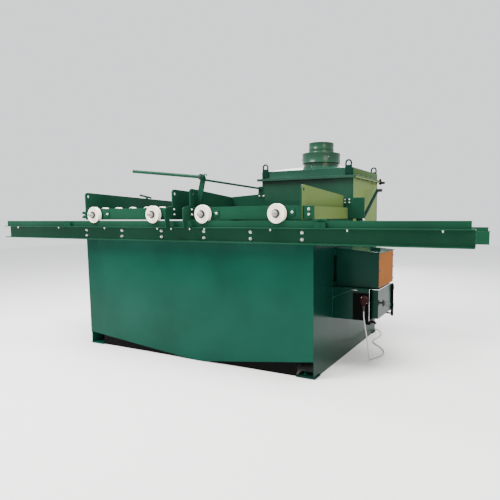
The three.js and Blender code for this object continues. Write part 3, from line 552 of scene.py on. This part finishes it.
# ---- hood and duct ----------------------------------------------------------------------------------
def build_hood():
    skin("hood_body", "hood", 1.2)
    skin("hood_cover", "cover", 1.2)
    x0, x1, y0, y1, lip = HOOD["x0"], HOOD["x1"], HOOD["y0"], HOOD["y1"], HOOD["lip"]
    out = 22                     # from the hood's face to the line of flange bolts
    spots = [(x0 - 20 + k * (x1 - x0 + 40) / 8, y1 + out) for k in range(9)]
    for k in range(5):
        y = y0 + 80 + k * (y1 - y0 - 160) / 4
        spots += [(x0 - out, y), (x1 + out, y)]
    bolts = Piece()
    for x, y in spots:
        bolts.bolt((x, y, 1585), (0, 0, 1), 13, 6, 10)
        bolts.bolt((x, y, HOOD["flange"]), (0, 0, -1), 13, 7, 10)
    bolts.finish("hood_flange_bolts", "root", "cast", 0.3)
    seams = Piece()
    foot, joint = 1024, 1587     # heights of the hood's bottom seam and the cover's
    for x, y in ((x0 - 0.5, y0 - 0.5), (x1 + 0.5, y0 - 0.5), (x0 - 0.5, y1 + 0.5), (x1 + 0.5, y1 + 0.5)):
        seams.weld((x, y, foot), (x, y, 1558), 2.4, 7)
        seams.weld((x, y, joint + 1), (x, y, 1652), 2.4, 7)
    seams.weld((x0, y0 - 1, joint), (x1, y0 - 1, joint), 2.6, 7)
    seams.weld((x1 + 1, y0, joint), (x1 + 1, y1, joint), 2.6, 7)
    seams.weld((x0, y0 - 2, foot), (x1, y0 - 2, foot), 2.8, 7)
    seams.finish("hood_welds", "root", "enamel", 0)
    gasket = Piece()
    edge, middle = lip - 1.5, 1573.2      # of the joint between hood and cover
    ring = [(x0 - edge, y0 - edge), (x1 + edge, y0 - edge), (x1 + edge, y1 + edge), (x0 - edge, y1 + edge)]
    for a, b in zip(ring, ring[1:] + ring[:1]):
        gasket.tube([(*a, middle), (*b, middle)], 1.8, 8)
    gasket.finish("hood_gasket", "root", "rubber", 0)
    toggle = Piece()
    toggle.box(2408, 2424, y1 - 14, y1 + 16, 1544, 1603)
    toggle.turned([(0, 2424), (15, 2424), (15, 2431), (12, 2434), (12, 2458), (9, 2464), (0, 2465)], "x",
                  (0, y1, 1563), 32)
    toggle.finish("hood_toggle", "root", "black_paint", 1.0)
    lug_rings()


def lug_rings():
    """Round lifting loops over the cover's faceted ones, with their welded feet."""
    x0, x1, y0, y1 = HOOD["x0"], HOOD["x1"], HOOD["y0"], HOOD["y1"]
    loops = Piece()
    for x, y in ((x0 + 40, y0 - 6), (x1 - 40, y0 - 6), (x0 + 40, y1 + 6), (x1 - 38, y1 + 6)):
        top, span = HOOD["top"] + 40, 25
        path = [(-1, 1584)] + [(-1, 1600 + 18 * k) for k in range(5)]
        arc = [(-math.cos(math.pi * k / 14), top + span * math.sin(math.pi * k / 14)) for k in range(15)]
        path += arc + [(1, 1672 - 18 * k) for k in range(5)] + [(1, 1584)]
        loops.tube([(x + u * span, y, z) for u, z in path], 7.6, 18)
        loops.box(x - span, x + span, y - 4, y + 4, 1600, 1676)
    loops.finish("lifting_loops", "root", "dark", 0)


def build_duct():
    x, y = DUCT
    collar = Piece()
    collar.turned([(171, 1693.3), (195, 1693.3), (195, 1699.3), (178, 1699.3), (175, 1702), (175, 1739.7),
                   (171, 1739.7), (171, 1693.3)], "z", (x, y, 0), 112)
    collar.finish("duct_collar_skin", "root", "duct", 0.8, replaces=("duct_collar",))
    pipe = Piece()
    band = [(171, 1740), (190, 1740), (191.5, 1743), (191.5, 1749), (189.5, 1753), (189.5, 1826),
            (191.5, 1831), (190.5, 1840)]
    bore = [(137, 1840), (129, 1843), (125, 1850), (125, 1876), (127, 1880), (127, 1884), (125, 1888),
            (125, 1936), (126.5, 1940), (125.5, 1944), (121.5, 1944), (121, 1836)]
    pipe.turned(band + bore + [(177, 1836), (171, 1828), (171, 1740)], "z", (x, y, 0), 112)
    pipe.box(x - 125 - 1.6, x - 124, y - 8, y + 8, 1850, 1942)
    pipe.finish("duct_pipe_skin", "root", "duct", 0.8, replaces=("duct_pipe",))
    fixings = Piece()
    for k in range(10):
        a = 2 * math.pi * (k + 0.3) / 10
        fixings.bolt((x + 186 * math.cos(a), y + 186 * math.sin(a), 1699.3), (0, 0, 1), 8, 4, 6)
    for k in range(3):
        a = 2 * math.pi * (k + 0.62) / 3
        out = (math.cos(a), math.sin(a), 0)
        fixings.bolt((x + 189.5 * out[0], y + 189.5 * out[1], 1790), out, 13, 7, 10)
    fixings.finish("duct_bolts", "root", "cast", 0.3)
    seams = Piece()
    ring = [(x + 176 * math.cos(t), y + 176 * math.sin(t), 1700.3) for t in
            [2 * math.pi * k / 150 for k in range(150)]]
    seams.tube(ring, 2.6, 7, lambda i: 1.1 if i % 2 else 0.85, closed=True)
    seams.finish("duct_weld", "root", "enamel", 0)
    skin("damper_lever", "dark", 1.0)
    tilt = math.radians(31.4)
    x, y, z = DAMPER
    bar = Piece()
    bar.tube([(x + 9.5, y + k * math.cos(tilt), z + k * math.sin(tilt)) for k in (18, 280, 546)], 13.2, 24)
    bar.finish("damper_bar", "damper", "dark", 0.8)
    skin("damper_grip", "black", 3.5, 4)
    hub = Piece()
    hub.bolt((x + 16, y, z), (1, 0, 0), 24, 9, 18)
    hub.finish("damper_hub_nut", "damper", "zinc", 0.4)


# ---- side box, outlet and door ----------------------------------------------------------------------
def build_side():
    skin("side_box", "dark", 1.2)
    skin("outlet_box", "dark", 1.2)
    skin("side_door", "dark", 1.2)
    skin("door_hinge_pin", "black_paint", 0.8)
    edge = Piece()
    edge.box(2689.4, 2691.4, 373, 375, 400, 652).box(2690, 2692, 375, 428, 649, 652)
    edge.finish("outlet_edge_strip", "root", "zinc", 0.3)
    trim = Piece()
    trim.box(2693.4, 2747.6, 426.6, 429.8, 643, 647).box(2746.2, 2749, 429.8, 828, 643, 647)
    trim.finish("door_edge_strip", "side_door", "zinc", 0.5)
    vent = Piece()
    vent.box(2556, 2686, 373, 374.9, 404, 620)
    for k in range(13):
        vent.box(2558 + 10 * k, 2563 + 10 * k, 370.5, 374, 408, 616)
    vent.finish("outlet_vent", "root", "black_paint", 0.6)
    latch = Piece()
    latch.tube([(2392, 371, 572), (2440, 370, 594), (2500, 370, 619), (2562, 370, 641)], 3.4, 12)
    latch.box(2384, 2398, 368, 374.8, 562, 580)
    latch.finish("outlet_stay", "root", "rail", 0.8)
    tip = Piece()
    tip.box(2548, 2592, 368, 374.8, 637, 643)
    tip.finish("outlet_stay_clip", "root", "dull", 0.8)
    # A thin sheet on the side box's right face that carries the painted orange reflection.
    cover = Piece()
    cover.box(2747.2, 2749, 434, 866, 660, 928)
    cover.finish("side_reflection_sheet", "root", "orange", 0.4)
    rods = Piece()
    rods.tube([(TANK_W + 9, 419, 704), (TANK_W + 9, 419, 890)], 6.5, 20)
    for z, way in ((704, -1), (890, 1)):
        rods.box(TANK_W + 0.4, TANK_W + 20, 408, 429.4, z - 4, z + 4)
        rods.bolt((TANK_W + 9, 419, z + 4 * way), (0, 0, way), 16, 7, 10, dome=False)
    rods.finish("tank_tie_rod", "root", "black_paint", 0.6)
    bolts = Piece()
    bolts.bolt((TANK_W + 0.5, 439, 990), (1, 0, 0), 19, 8, 13)
    for y in (452, 848):
        for z in (690, 790, 890):
            bolts.bolt((2749.2, y, z), (1, 0, 0), 10, 5, 8)
    for y in (405, 800):
        bolts.bolt((2560, y, 400), (0, 0, -1), 13, 7, 10)
    bolts.finish("side_bolts", "root", "cast", 0.3)
    clamp = Piece()
    clamp.box(2652, 2690, 392, 480, 366, 399.6).tube([(2636, 436, 384), (2660, 436, 384)], 12, 24)
    clamp.tube([(2690, 436, 382), (2716, 436, 382), (2730, 436, 370)], 9, 18)
    clamp.finish("outlet_clamp", "root", "black_paint", 1.5)
    hinge = Piece()
    for low, high in ((357, 431), (473, 584), (626, 632)):
        hinge.turned([(0, low), (10.5, low), (11.5, low + 1), (11.5, high - 1), (10.5, high), (0, high)], "z",
                     HINGE, 36)
    hinge.finish("hinge_sleeves", "root", "black_paint", 0)
    knuckles = Piece()
    for low in (432, 585):
        ring = [(12, low), (14.2, low), (14.8, low + 1), (14.8, low + 39), (14.2, low + 40), (12, low + 40)]
        knuckles.turned(ring + [ring[0]], "z", HINGE, 36)
    knuckles.finish("door_knuckles", "side_door", "black_paint", 0)
    build_knob()


def build_knob():
    y, z = KNOB
    x = DOOR_FACE
    knob = Piece()
    knob.turned([(0, x + 0.3), (7, x + 0.3), (7, x + 12), (12, x + 13), (17, x + 16), (18, x + 26),
                 (15, x + 33), (8, x + 35), (0, x + 35)], "x", (0, y, z), 40)
    for k in range(3):
        a = 2 * math.pi * k / 3
        lobe = [(0, x + 13), (8, x + 14), (12, x + 18), (12, x + 28), (8, x + 32), (0, x + 33)]
        knob.turned(lobe, "x", (0, y + 16 * math.cos(a), z + 16 * math.sin(a)), 32)
    loop = Piece()
    ring = [(x + 54 + 19 * math.cos(t), y, z - 4 + 19 * math.sin(t)) for t in
            [2 * math.pi * k / 48 for k in range(48)]]
    loop.tube(ring, 3.4, 14, closed=True)
    loop.finish("door_knob_ring", "door_knob", "cast", 0)
    knob.finish("door_knob_skin", "door_knob", "black", 0.6, replaces=("door_knob",))


# ---- carriages --------------------------------------------------------------------------------------
def front_wheel(name, x):
    """A wheel with a rounded groove that sits over the rail's upright leg."""
    half = WHEEL_HALF
    wheel = Piece()
    side = [(10.5, -half - 1.5), (22, -half - 1.5), (24, -half), (30, -half + 1.5), (58, -half + 1.5),
            (62, -half), (70, -half), (73, -half + 3)]
    groove = [(73, -11.5), (71.5, -10), (55, -5.4), (53.3, -4), (53.3, 4), (55, 5.4), (71.5, 10), (73, 11.5)]
    back = [(r, -along) for r, along in side[::-1]]
    wheel.turned(side + groove + back + [side[0]], "y", (x, ANGLE_Y, WHEEL_Z), 88)
    wheel.finish(name + "_skin", name, "nylon", 0.9, 3, replaces=(name,))


def plain_wheel(name, x, y, z):
    """A smaller wheel with a flat tread, for the rear rail."""
    wheel = Piece()
    side = [(10.5, -15.5), (24, -15.5), (26, -13.5), (50, -13.5), (53, -15), (57, -15), (60, -12)]
    wheel.turned(side + [(r, -along) for r, along in side[::-1]] + [side[0]], "y", (x, y, z), 72)
    wheel.finish(name + "_skin", name, "nylon", 0.8, replaces=(name,))


def axle_ends(side, xs, rear_y, rear_z):
    """Washers, domed nuts and bosses on the carriage's stub axles."""
    body = side + "_carriage"
    face = ANGLE_Y - WHEEL_HALF
    rings = Piece()
    for x in xs:
        washer = [(0, face - 8), (30, face - 8), (33, face - 6), (33, face - 1.6), (0, face - 1.6)]
        rings.turned(washer, "y", (x, 0, WHEEL_Z), 40)
    rings.finish(side + "_axle_washers", body, "black", 0.5)
    ends = Piece()
    for x in xs:
        nut = [(0, face - 28), (20, face - 28), (23, face - 24), (23, face - 6), (0, face - 6)]
        ends.turned(nut, "y", (x, 0, WHEEL_Z), 6, 0.2)
        ends.turned([(14.5, face - 26), (14.5, face - 41), (12, face - 45), (0, face - 45.5)][::-1], "y",
                    (x, 0, WHEEL_Z), 32)
        ends.turned([(0, rear_y + 15.6), (24, rear_y + 15.6), (24, rear_y + 18), (0, rear_y + 18)], "y",
                    (x, 0, rear_z), 32)
        ends.turned([(0, rear_y + 18), (20.5, rear_y + 18), (20.5, rear_y + 28), (17, rear_y + 31),
                     (0, rear_y + 31)], "y", (x, 0, rear_z), 6, 0.2)
    ends.finish(side + "_axle_nuts", body, "steel", 0.7)


def build_carriages():
    for side, nodes in (("left", ("left_outer_plate", "left_inner_plate", "left_rear_beam")),
                        ("right", ("right_inner_plate", "right_rear_wall", "lever_post"))):
        for node in nodes:
            skin(node, "plate", 1.5)
        skin(side + "_front_beam", "rail", 1.6, 3)
        rear_y, rear_z = REAR_WHEELS[side]
        for k, x in enumerate(FRONT_WHEELS[side], 1):
            front_wheel(f"{side}_front_wheel_{k}", x)
            plain_wheel(f"{side}_rear_wheel_{k}", x, rear_y, rear_z)
        axle_ends(side, FRONT_WHEELS[side], rear_y, rear_z)
    skin("right_outer_plate", "side_plate", 1.5)
    skin("end_gate", "plate", 1.5)
    build_left_details()
    build_right_details()
    build_rollers()


def brackets(piece, spots):
    """Small flat cleats on the front beam, beside the wheels."""
    for x, z in spots:
        piece.box(x - 22, x + 22, -46.5, -40.2, z - 26, z + 26)


def build_left_details():
    cleats = Piece()
    spots = [(348, 1250), (1040, 1250)]
    brackets(cleats, spots)
    cleats.box(20, 76, -52, -44, 1212, 1276).box(68, 76, -52, -10, 1212, 1276)
    cleats.finish("left_cleats", "left_carriage", "rail", 1.2)
    bolts = Piece()
    for x, z in spots:
        bolts.bolt((x, -46.5, z), (0, -1, 0), 15, 7, 10)
    bolts.bolt((40, -52, 1244), (0, -1, 0), 15, 7, 10)
    for z in (1284, 1242):
        for y in (-48, 1370):
            bolts.bolt((1130, y, z), (1, 0, 0), 14, 7, 9)
            bolts.bolt((77, y, z), (-1, 0, 0), 14, 7, 9)
    bolts.finish("left_carriage_bolts", "left_carriage", "zinc", 0.4)
    seams = Piece()
    for x in (90.5, 1116.5):
        seams.weld((x, -20, 1301), (x, 8, 1301), 2.6)
        seams.weld((x, -41, 1206), (x, -41, 1296), 2.8)
    seams.weld((90, 702, 1421), (90, 720, 1420), 2.6)
    seams.finish("left_carriage_welds", "left_carriage", "plate", 0)


def build_right_details():
    cleats = Piece()
    spots = [(1561, 1249), (2232, 1253)]
    brackets(cleats, spots)
    cleats.box(2318.6, 2408, -46, -40, 1204, 1298).box(2318.6, 2324, -46, 16, 1204, 1298)
    cleats.finish("right_cleats", "right_carriage", "rail", 1.2)
    bolts = Piece()
    for x, z in spots:
        bolts.bolt((x, -46.5, z), (0, -1, 0), 15, 7, 10)
    for z in (1281, 1240):
        bolts.bolt((1315, -48, z), (1, 0, 0), 14, 7, 9)
    for z in (1274, 1236):
        bolts.bolt((2366, -46.4, z), (0, -1, 0), 15, 7, 10)
    for x in (1625, 1667):
        bolts.bolt((x - 10, 525, 1404), (0, -1, 0), 13, 7, 8.5)
    for x in (2330, 2372):
        for z in (1343, 1368):
            bolts.bolt((x, 790.2, z), (0, -1, 0), 12, 6, 8)
    bolts.finish("right_carriage_bolts", "right_carriage", "zinc", 0.4)
    seams = Piece()
    for x in (1316.5, 2304.5):
        seams.weld((x, -41, 1206), (x, -41, 1296), 2.8)
        seams.weld((x, 524, 1210), (x, 524, 1350), 2.8)
    seams.weld((1345, 21, 1312), (1345, 58, 1312), 2.8)
    seams.finish("right_carriage_welds", "right_carriage", "plate", 0)
    build_lever()


def build_lever():
    """The hand lever: a plugged tube with a sleeve at its grip, a pivot with its cap, and a small hook."""
    x, z = LEVER
    skin("hand_lever", "plate", 1.2)
    start, end = Vector((x - 8, -6, z + 1)), Vector((x - 744, -6, z + 80))
    tube = Piece()
    spots = [start.lerp(end, t) for t in (0, 0.35, 0.7, 0.97, 0.985, 0.995, 1.0)]
    sizes = (1, 1, 1, 1, 1.1, 1.08, 0.85)
    tube.tube(spots, 13.6, 28, lambda i: sizes[i])
    tube.turned([(0, -20.5), (22, -20.5), (25, -18), (25, 9), (22, 11), (0, 11)], "y", (x, 0, z), 48)
    tube.tube([(x + 24, -8, z + 6), (x + 36, -8, z + 22), (x + 50, -8, z + 20), (x + 54, -8, z + 6)], 4.5, 14)
    tube.finish("lever_tube", "hand_lever", "rail", 0.8)
    cap = Piece()
    cap.turned([(0, -34), (9, -34), (12, -31), (12, -20)], "y", (x, 0, z), 32)
    cap.finish("lever_pivot_cap", "hand_lever", "black", 0.6)
    nut = Piece()
    nut.bolt((x, 22.5, z), (0, 1, 0), 26, 11, 19)
    nut.finish("lever_nut", "hand_lever", "zinc", 0.5)


def build_rollers():
    skin("roller_bracket", "steel", 1.0)
    y, z = ROLLER_AT
    for k, x in enumerate(ROLLERS, 1):
        roller = Piece()
        side = [(8.5, -22), (20, -22), (21, -20), (34, -20), (37, -22), (40, -22), (44, -18)]
        roller.turned(side + [(r, -along) for r, along in side[::-1]] + [side[0]], "y", (x, y, z), 72)
        roller.finish(f"bed_roller_{k}_skin", f"bed_roller_{k}", "nylon", 0.8, replaces=(f"bed_roller_{k}",))
    ends = Piece()
    for x in ROLLERS:
        ends.bolt((x, y - 22.4, z), (0, -1, 0), 17, 6, 11)
    ends.finish("roller_pin_ends", "left_carriage", "steel", 0.5)


# ---- sanding unit -----------------------------------------------------------------------------------
def build_sander():
    skin("sander_frame", "cast", 2.0, 3)
    housings = Piece()
    for x in (DRIVE_X, IDLE_X):
        for y, out in ((70, -1), (570, 1)):
            ring = [(18, 0), (40, 0), (46, 3), (46, 12), (36, 17), (24, 18), (18, 16), (18, 0)]
            points = [(r, y + out * a) for r, a in ring]
            housings.turned(points if out > 0 else points[::-1], "y", (x, 0, DRUM_Z), 56)
            for dx in (-32, 32):
                housings.bolt((x + dx, y, DRUM_Z - 88), (0, out, 0), 19, 8, 14)
    housings.finish("bearing_housings", "root", "cast", 0.8)
    for name, x, tail in (("drive_drum", DRIVE_X, 595.7), ("idler_drum", IDLE_X, 580)):
        drum = Piece()
        crown = [(86, 130), (90, 134), (90.6, 250), (90.8, 320), (90.6, 390), (90, 506), (86, 510)]
        drum.turned([(0, 60), (15.5, 60), (17.5, 62), (17.5, 128), (70, 130)] + crown +
                    [(70, 510), (17.5, 512), (17.5, tail - 2), (15.5, tail), (0, tail)],
                    "y", (x, 0, DRUM_Z), 88)
        drum.finish(name + "_skin", name, "steel", 0.8, replaces=(name,))
    loop = Piece()
    belt_loop(loop, [(IDLE_X, DRUM_Z, -90), (DRIVE_X, DRUM_Z, 90)], 91.2, 94.2, 135, 505)
    loop.finish("sanding_belt_skin", "root", "abrasive", 0, replaces=("sanding_belt",))
    build_drive()


def belt_loop(piece, wheels, inner, outer, y0, y1, step=36, grow=(0, 0)):
    """An endless band round two wheels, half a turn round each from the given angle.

    grow adds to the radius at each wheel.
    """
    rows = []
    for (x, z, first), more in zip(wheels, grow):
        low, high = inner + more, outer + more
        section = [(low, y0), (high, y0), (high, y1), (low, y1)]
        for i in range(step + 1):
            a = math.radians(first + 180 * i / step)
            row = [(x + r * math.cos(a), y, z + r * math.sin(a)) for r, y in section]
            rows.append([piece.bm.verts.new(spot) for spot in row])
    for row, following in zip(rows, rows[1:] + rows[:1]):
        for i in range(4):
            j = (i + 1) % 4
            piece.bm.faces.new((row[i], row[j], following[j], following[i]))


def build_drive():
    for name, z, radius, start, body in (("drum_pulley", DRUM_Z, 95, 596, "drive_drum"),
                                         ("motor_pulley", MOTOR_Z, 60, 540.3, "motor_pulley")):
        y = SHEAVE_Y
        sheave = Piece()
        groove = [(radius, y - 8), (radius - 9, y - 2.4), (radius - 9, y + 2.4), (radius, y + 8)]
        sheave.turned([(0, y - 14), (radius - 2, y - 14), (radius, y - 12)] + groove +
                      [(radius, y + 12), (radius - 2, y + 14), (radius - 16, y + 14), (radius - 20, y + 9),
                       (34, y + 9), (30, y + 18), (18, y + 19), (14, y + 20), (0, y + 20)],
                      "y", (DRIVE_X, 0, z), 80)
        sheave.turned([(0, start), (14, start), (14, y - 13)], "y", (DRIVE_X, 0, z), 40)
        sheave.finish(name + "_skin", body, "steel", 0.6, replaces=(name,))
    belt = Piece()
    belt_loop(belt, [(DRIVE_X, DRUM_Z, 0), (DRIVE_X, MOTOR_Z, 180)], 90, 96, 608, 612, grow=(0, -35))
    belt.finish("drive_belt_skin", "root", "rubber", 0.4, replaces=("drive_belt",))
    motor = Piece()
    x, z, fins = DRIVE_X, MOTOR_Z, 30
    motor.turned([(0, 230), (84, 230), (98, 236), (103, 250), (103, 268), (92, 270), (92, 500), (103, 502),
                  (103, 522), (96, 534), (60, 540), (0, 540)], "y", (x, 0, z), 72)
    for k in range(fins):
        turn = Matrix.Rotation(-2 * math.pi * k / fins, 3, "Y")
        motor.box(x + 90, x + 104, 272, 498, z - 1.4, z + 1.4, turn, (x, 0, z))
    motor.box(x - 90, x - 55, 290, 500, 490.3, 560).box(x + 55, x + 90, 290, 500, 490.3, 560)
    motor.box(x - 104, x - 84, 320, 430, z - 42, z + 42)
    motor.finish("motor_skin", "root", "cast", 1.0, replaces=("motor",))


# ---- power cable ------------------------------------------------------------------------------------
def coil_points():
    """The coil's centre line: in along the floor, out again on the second layer, and off the third."""
    layers = []

    def sweep(turns, r0, r1, z0, z1):
        start = layers[-1][0] if layers else 0.0
        steps = max(4, round(turns * 20))
        for i in range(1, steps + 1):
            t = i / steps
            ease = t * t * (3 - 2 * t)
            layers.append((start + turns * t, r0 + (r1 - r0) * t, z0 + (z1 - z0) * ease))

    outer, inner, pitch, z = COIL["outer"], COIL["inner"], COIL["pitch"], COIL["z"]
    lead_turns, lead_radius = 0.59, 67.0
    sweep(3, outer, inner, z, z)
    sweep(1 / 6, inner, inner, z, z + pitch)
    sweep(3, inner, outer, z + pitch, z + pitch)
    sweep(1 / 6, outer, outer, z + pitch, z + 2 * pitch)
    sweep(lead_turns, outer, lead_radius, z + 2 * pitch, z + 2 * pitch)
    spots = []
    for turns, r, z in layers:
        a = -math.pi / 2 - 2 * math.pi * turns
        spots.append((COIL["x"] + r * math.cos(a), COIL["y"] + r * math.sin(a), z))
    return spots


def smooth_line(points, spacing=4.0):
    """Evenly spaced points on the centripetal curve through points."""
    points = [Vector(p) for p in points]
    points = [points[0] * 2 - points[1]] + points + [points[-1] * 2 - points[-2]]
    out = []
    for a, b, c, d in zip(points, points[1:], points[2:], points[3:]):
        t0, t1 = 0.0, (b - a).length ** 0.5
        t2 = t1 + (c - b).length ** 0.5
        t3 = t2 + (d - c).length ** 0.5
        count = max(2, round((c - b).length / spacing))
        for i in range(count):
            t = t1 + (t2 - t1) * i / count
            ab, bc = a.lerp(b, (t - t0) / (t1 - t0)), b.lerp(c, (t - t1) / (t2 - t1))
            cd = c.lerp(d, (t - t2) / (t3 - t2))
            abc, bcd = ab.lerp(bc, (t - t0) / (t2 - t0)), bc.lerp(cd, (t - t1) / (t3 - t1))
            out.append(abc.lerp(bcd, (t - t1) / (t2 - t1)))
    return out + [points[-2]]


def build_cable():
    """The cable from its strain relief to the coil and the plug, as one cord."""
    last = [(2122, 1714.0, 26.8), (PLUG_AT[0] + 12, PLUG_AT[1], 29.6), (PLUG_AT[0] - 2, PLUG_AT[1], 30.2)]
    line = smooth_line(CABLE_ROUTE + [(2190, 1708, 5.2), (COIL["x"], 1708, 5.2)] + coil_points() + last)
    curve = bpy.data.curves.new("power_cable_skin", "CURVE")
    curve.dimensions, curve.bevel_depth, curve.bevel_resolution = "3D", CABLE_D / 2000, 4
    curve.use_fill_caps = True
    spline = curve.splines.new("POLY")
    spline.points.add(len(line) - 1)
    for spot, p in zip(spline.points, line):
        spot.co = (*at(*p), 1)
    curve.materials.append(M["cable"])
    cable = bpy.data.objects.new("power_cable_skin", curve)
    bpy.context.collection.objects.link(cable)
    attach(cable, "root")
    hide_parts("power_cable", "cable_coil")
    plug, pins = build_plug()
    relief = Piece()
    x, y, top = INLET[0], INLET[1], INLET[2] - 45.3
    profile = [(0, top - 40), (6.3, top - 40)]
    for k in range(6):
        low = top - 38 + 5.5 * k
        r = 6.8 + 0.75 * k
        profile += [(r, low), (r + 0.6, low + 1), (r + 0.6, low + 3), (r - 0.6, low + 3.6),
                    (r - 0.6, low + 4.9)]
    profile += [(13, top - 4), (13, top), (0, top)]
    relief.turned(profile, "z", (x, y, 0), 40)
    relief = relief.finish("strain_relief_skin", "root", "rubber", 0, replaces=("strain_relief",))
    ties = Piece()
    middle = 0.5 * (COIL["outer"] + COIL["inner"])
    for angle, high in ((20, 21.4), (140, 31.4)):
        a = math.radians(angle)
        out, up = Vector((math.cos(a), math.sin(a), 0)), Vector((0, 0, 1))
        centre = Vector((COIL["x"], COIL["y"], 0)) + out * middle
        corners = [(-21, 1.0), (21, 1.0), (22, 2), (22, high - 2), (20, high), (-20, high),
                   (-22, high - 2), (-22, 2)]
        ties.tube([centre + out * u + up * v for u, v in corners], 0.9, 8, closed=True)
    ties = ties.finish("coil_ties", "root", "black", 0)


def build_plug():
    """A round five-pin industrial plug lying on its side, and the inlet on the outlet box."""
    x, y, z = PLUG_AT
    plug = Piece()
    body = [(0, 0), (6, 0), (9.5, 2), (11, 12), (13, 24), (20, 31), (26, 40), (29, 50), (30, 58), (30, 64),
            (28.6, 66), (28.6, 74), (30, 76), (30, 84), (28.6, 86), (28.6, 112), (30, 114), (30, 126),
            (28, 130), (24, 130), (24, 106), (0, 106)]
    turn = Vector((0, 0, 1)).rotation_difference(Vector((-1, 0, 0))).to_matrix()
    plug.turned(body, turn, (x, y, z), 56)
    plug.box(x - 124, x - 88, y - 5, y + 5, z - 1, z + 29.6)
    plug = plug.finish("cable_plug_skin", "root", "red", 0.5, replaces=("cable_plug",))
    pins = Piece()
    for k in range(5):
        a = 2 * math.pi * k / 5 + 0.3
        pin = [(0, 105), (3.2, 105), (3.2, 126), (2.2, 128), (0, 128.5)]
        pins.turned(pin, turn, (x, y + 13 * math.cos(a), z + 13 * math.sin(a)), 16)
    pins = pins.finish("plug_pins", "root", "brass", 0)
    ix, iy, iz = INLET
    front = 375
    inlet = Piece()
    inlet.turned([(0, front - 52), (21, front - 52), (24, front - 50), (24, front - 46), (29, front - 44),
                  (29, front - 24), (33, front - 22), (35, front - 19), (35, front - 2), (33, front - 0.4),
                  (0, front - 0.4)][::-1], "y", (ix, 0, iz), 64)
    inlet.turned([(0, iz - 45), (13, iz - 45), (15, iz - 43), (15, iz - 38), (13.5, iz - 37), (13.5, iz - 34),
                  (15, iz - 33), (15, iz - 10)], "z", (ix, iy, 0), 40)
    inlet.finish("power_inlet_skin", "root", "red", 0.6, replaces=("power_inlet",))
    screws = Piece()
    for k in range(4):
        a = math.pi / 4 + math.pi / 2 * k
        place = (ix + 30 * math.cos(a), front - 21.5, iz + 30 * math.sin(a))
        screws.bolt(place, (0, -1, 0), 5, 2.5, None, False)
    screws.finish("inlet_screws", "root", "zinc", 0)
    return plug, pins


# ---- the whole scene --------------------------------------------------------------------------------
make_materials()
set_camera()
build_cable()
set_studio()
build_tank()
build_rails()
build_hood()
build_duct()
build_side()
build_carriages()
build_sander()
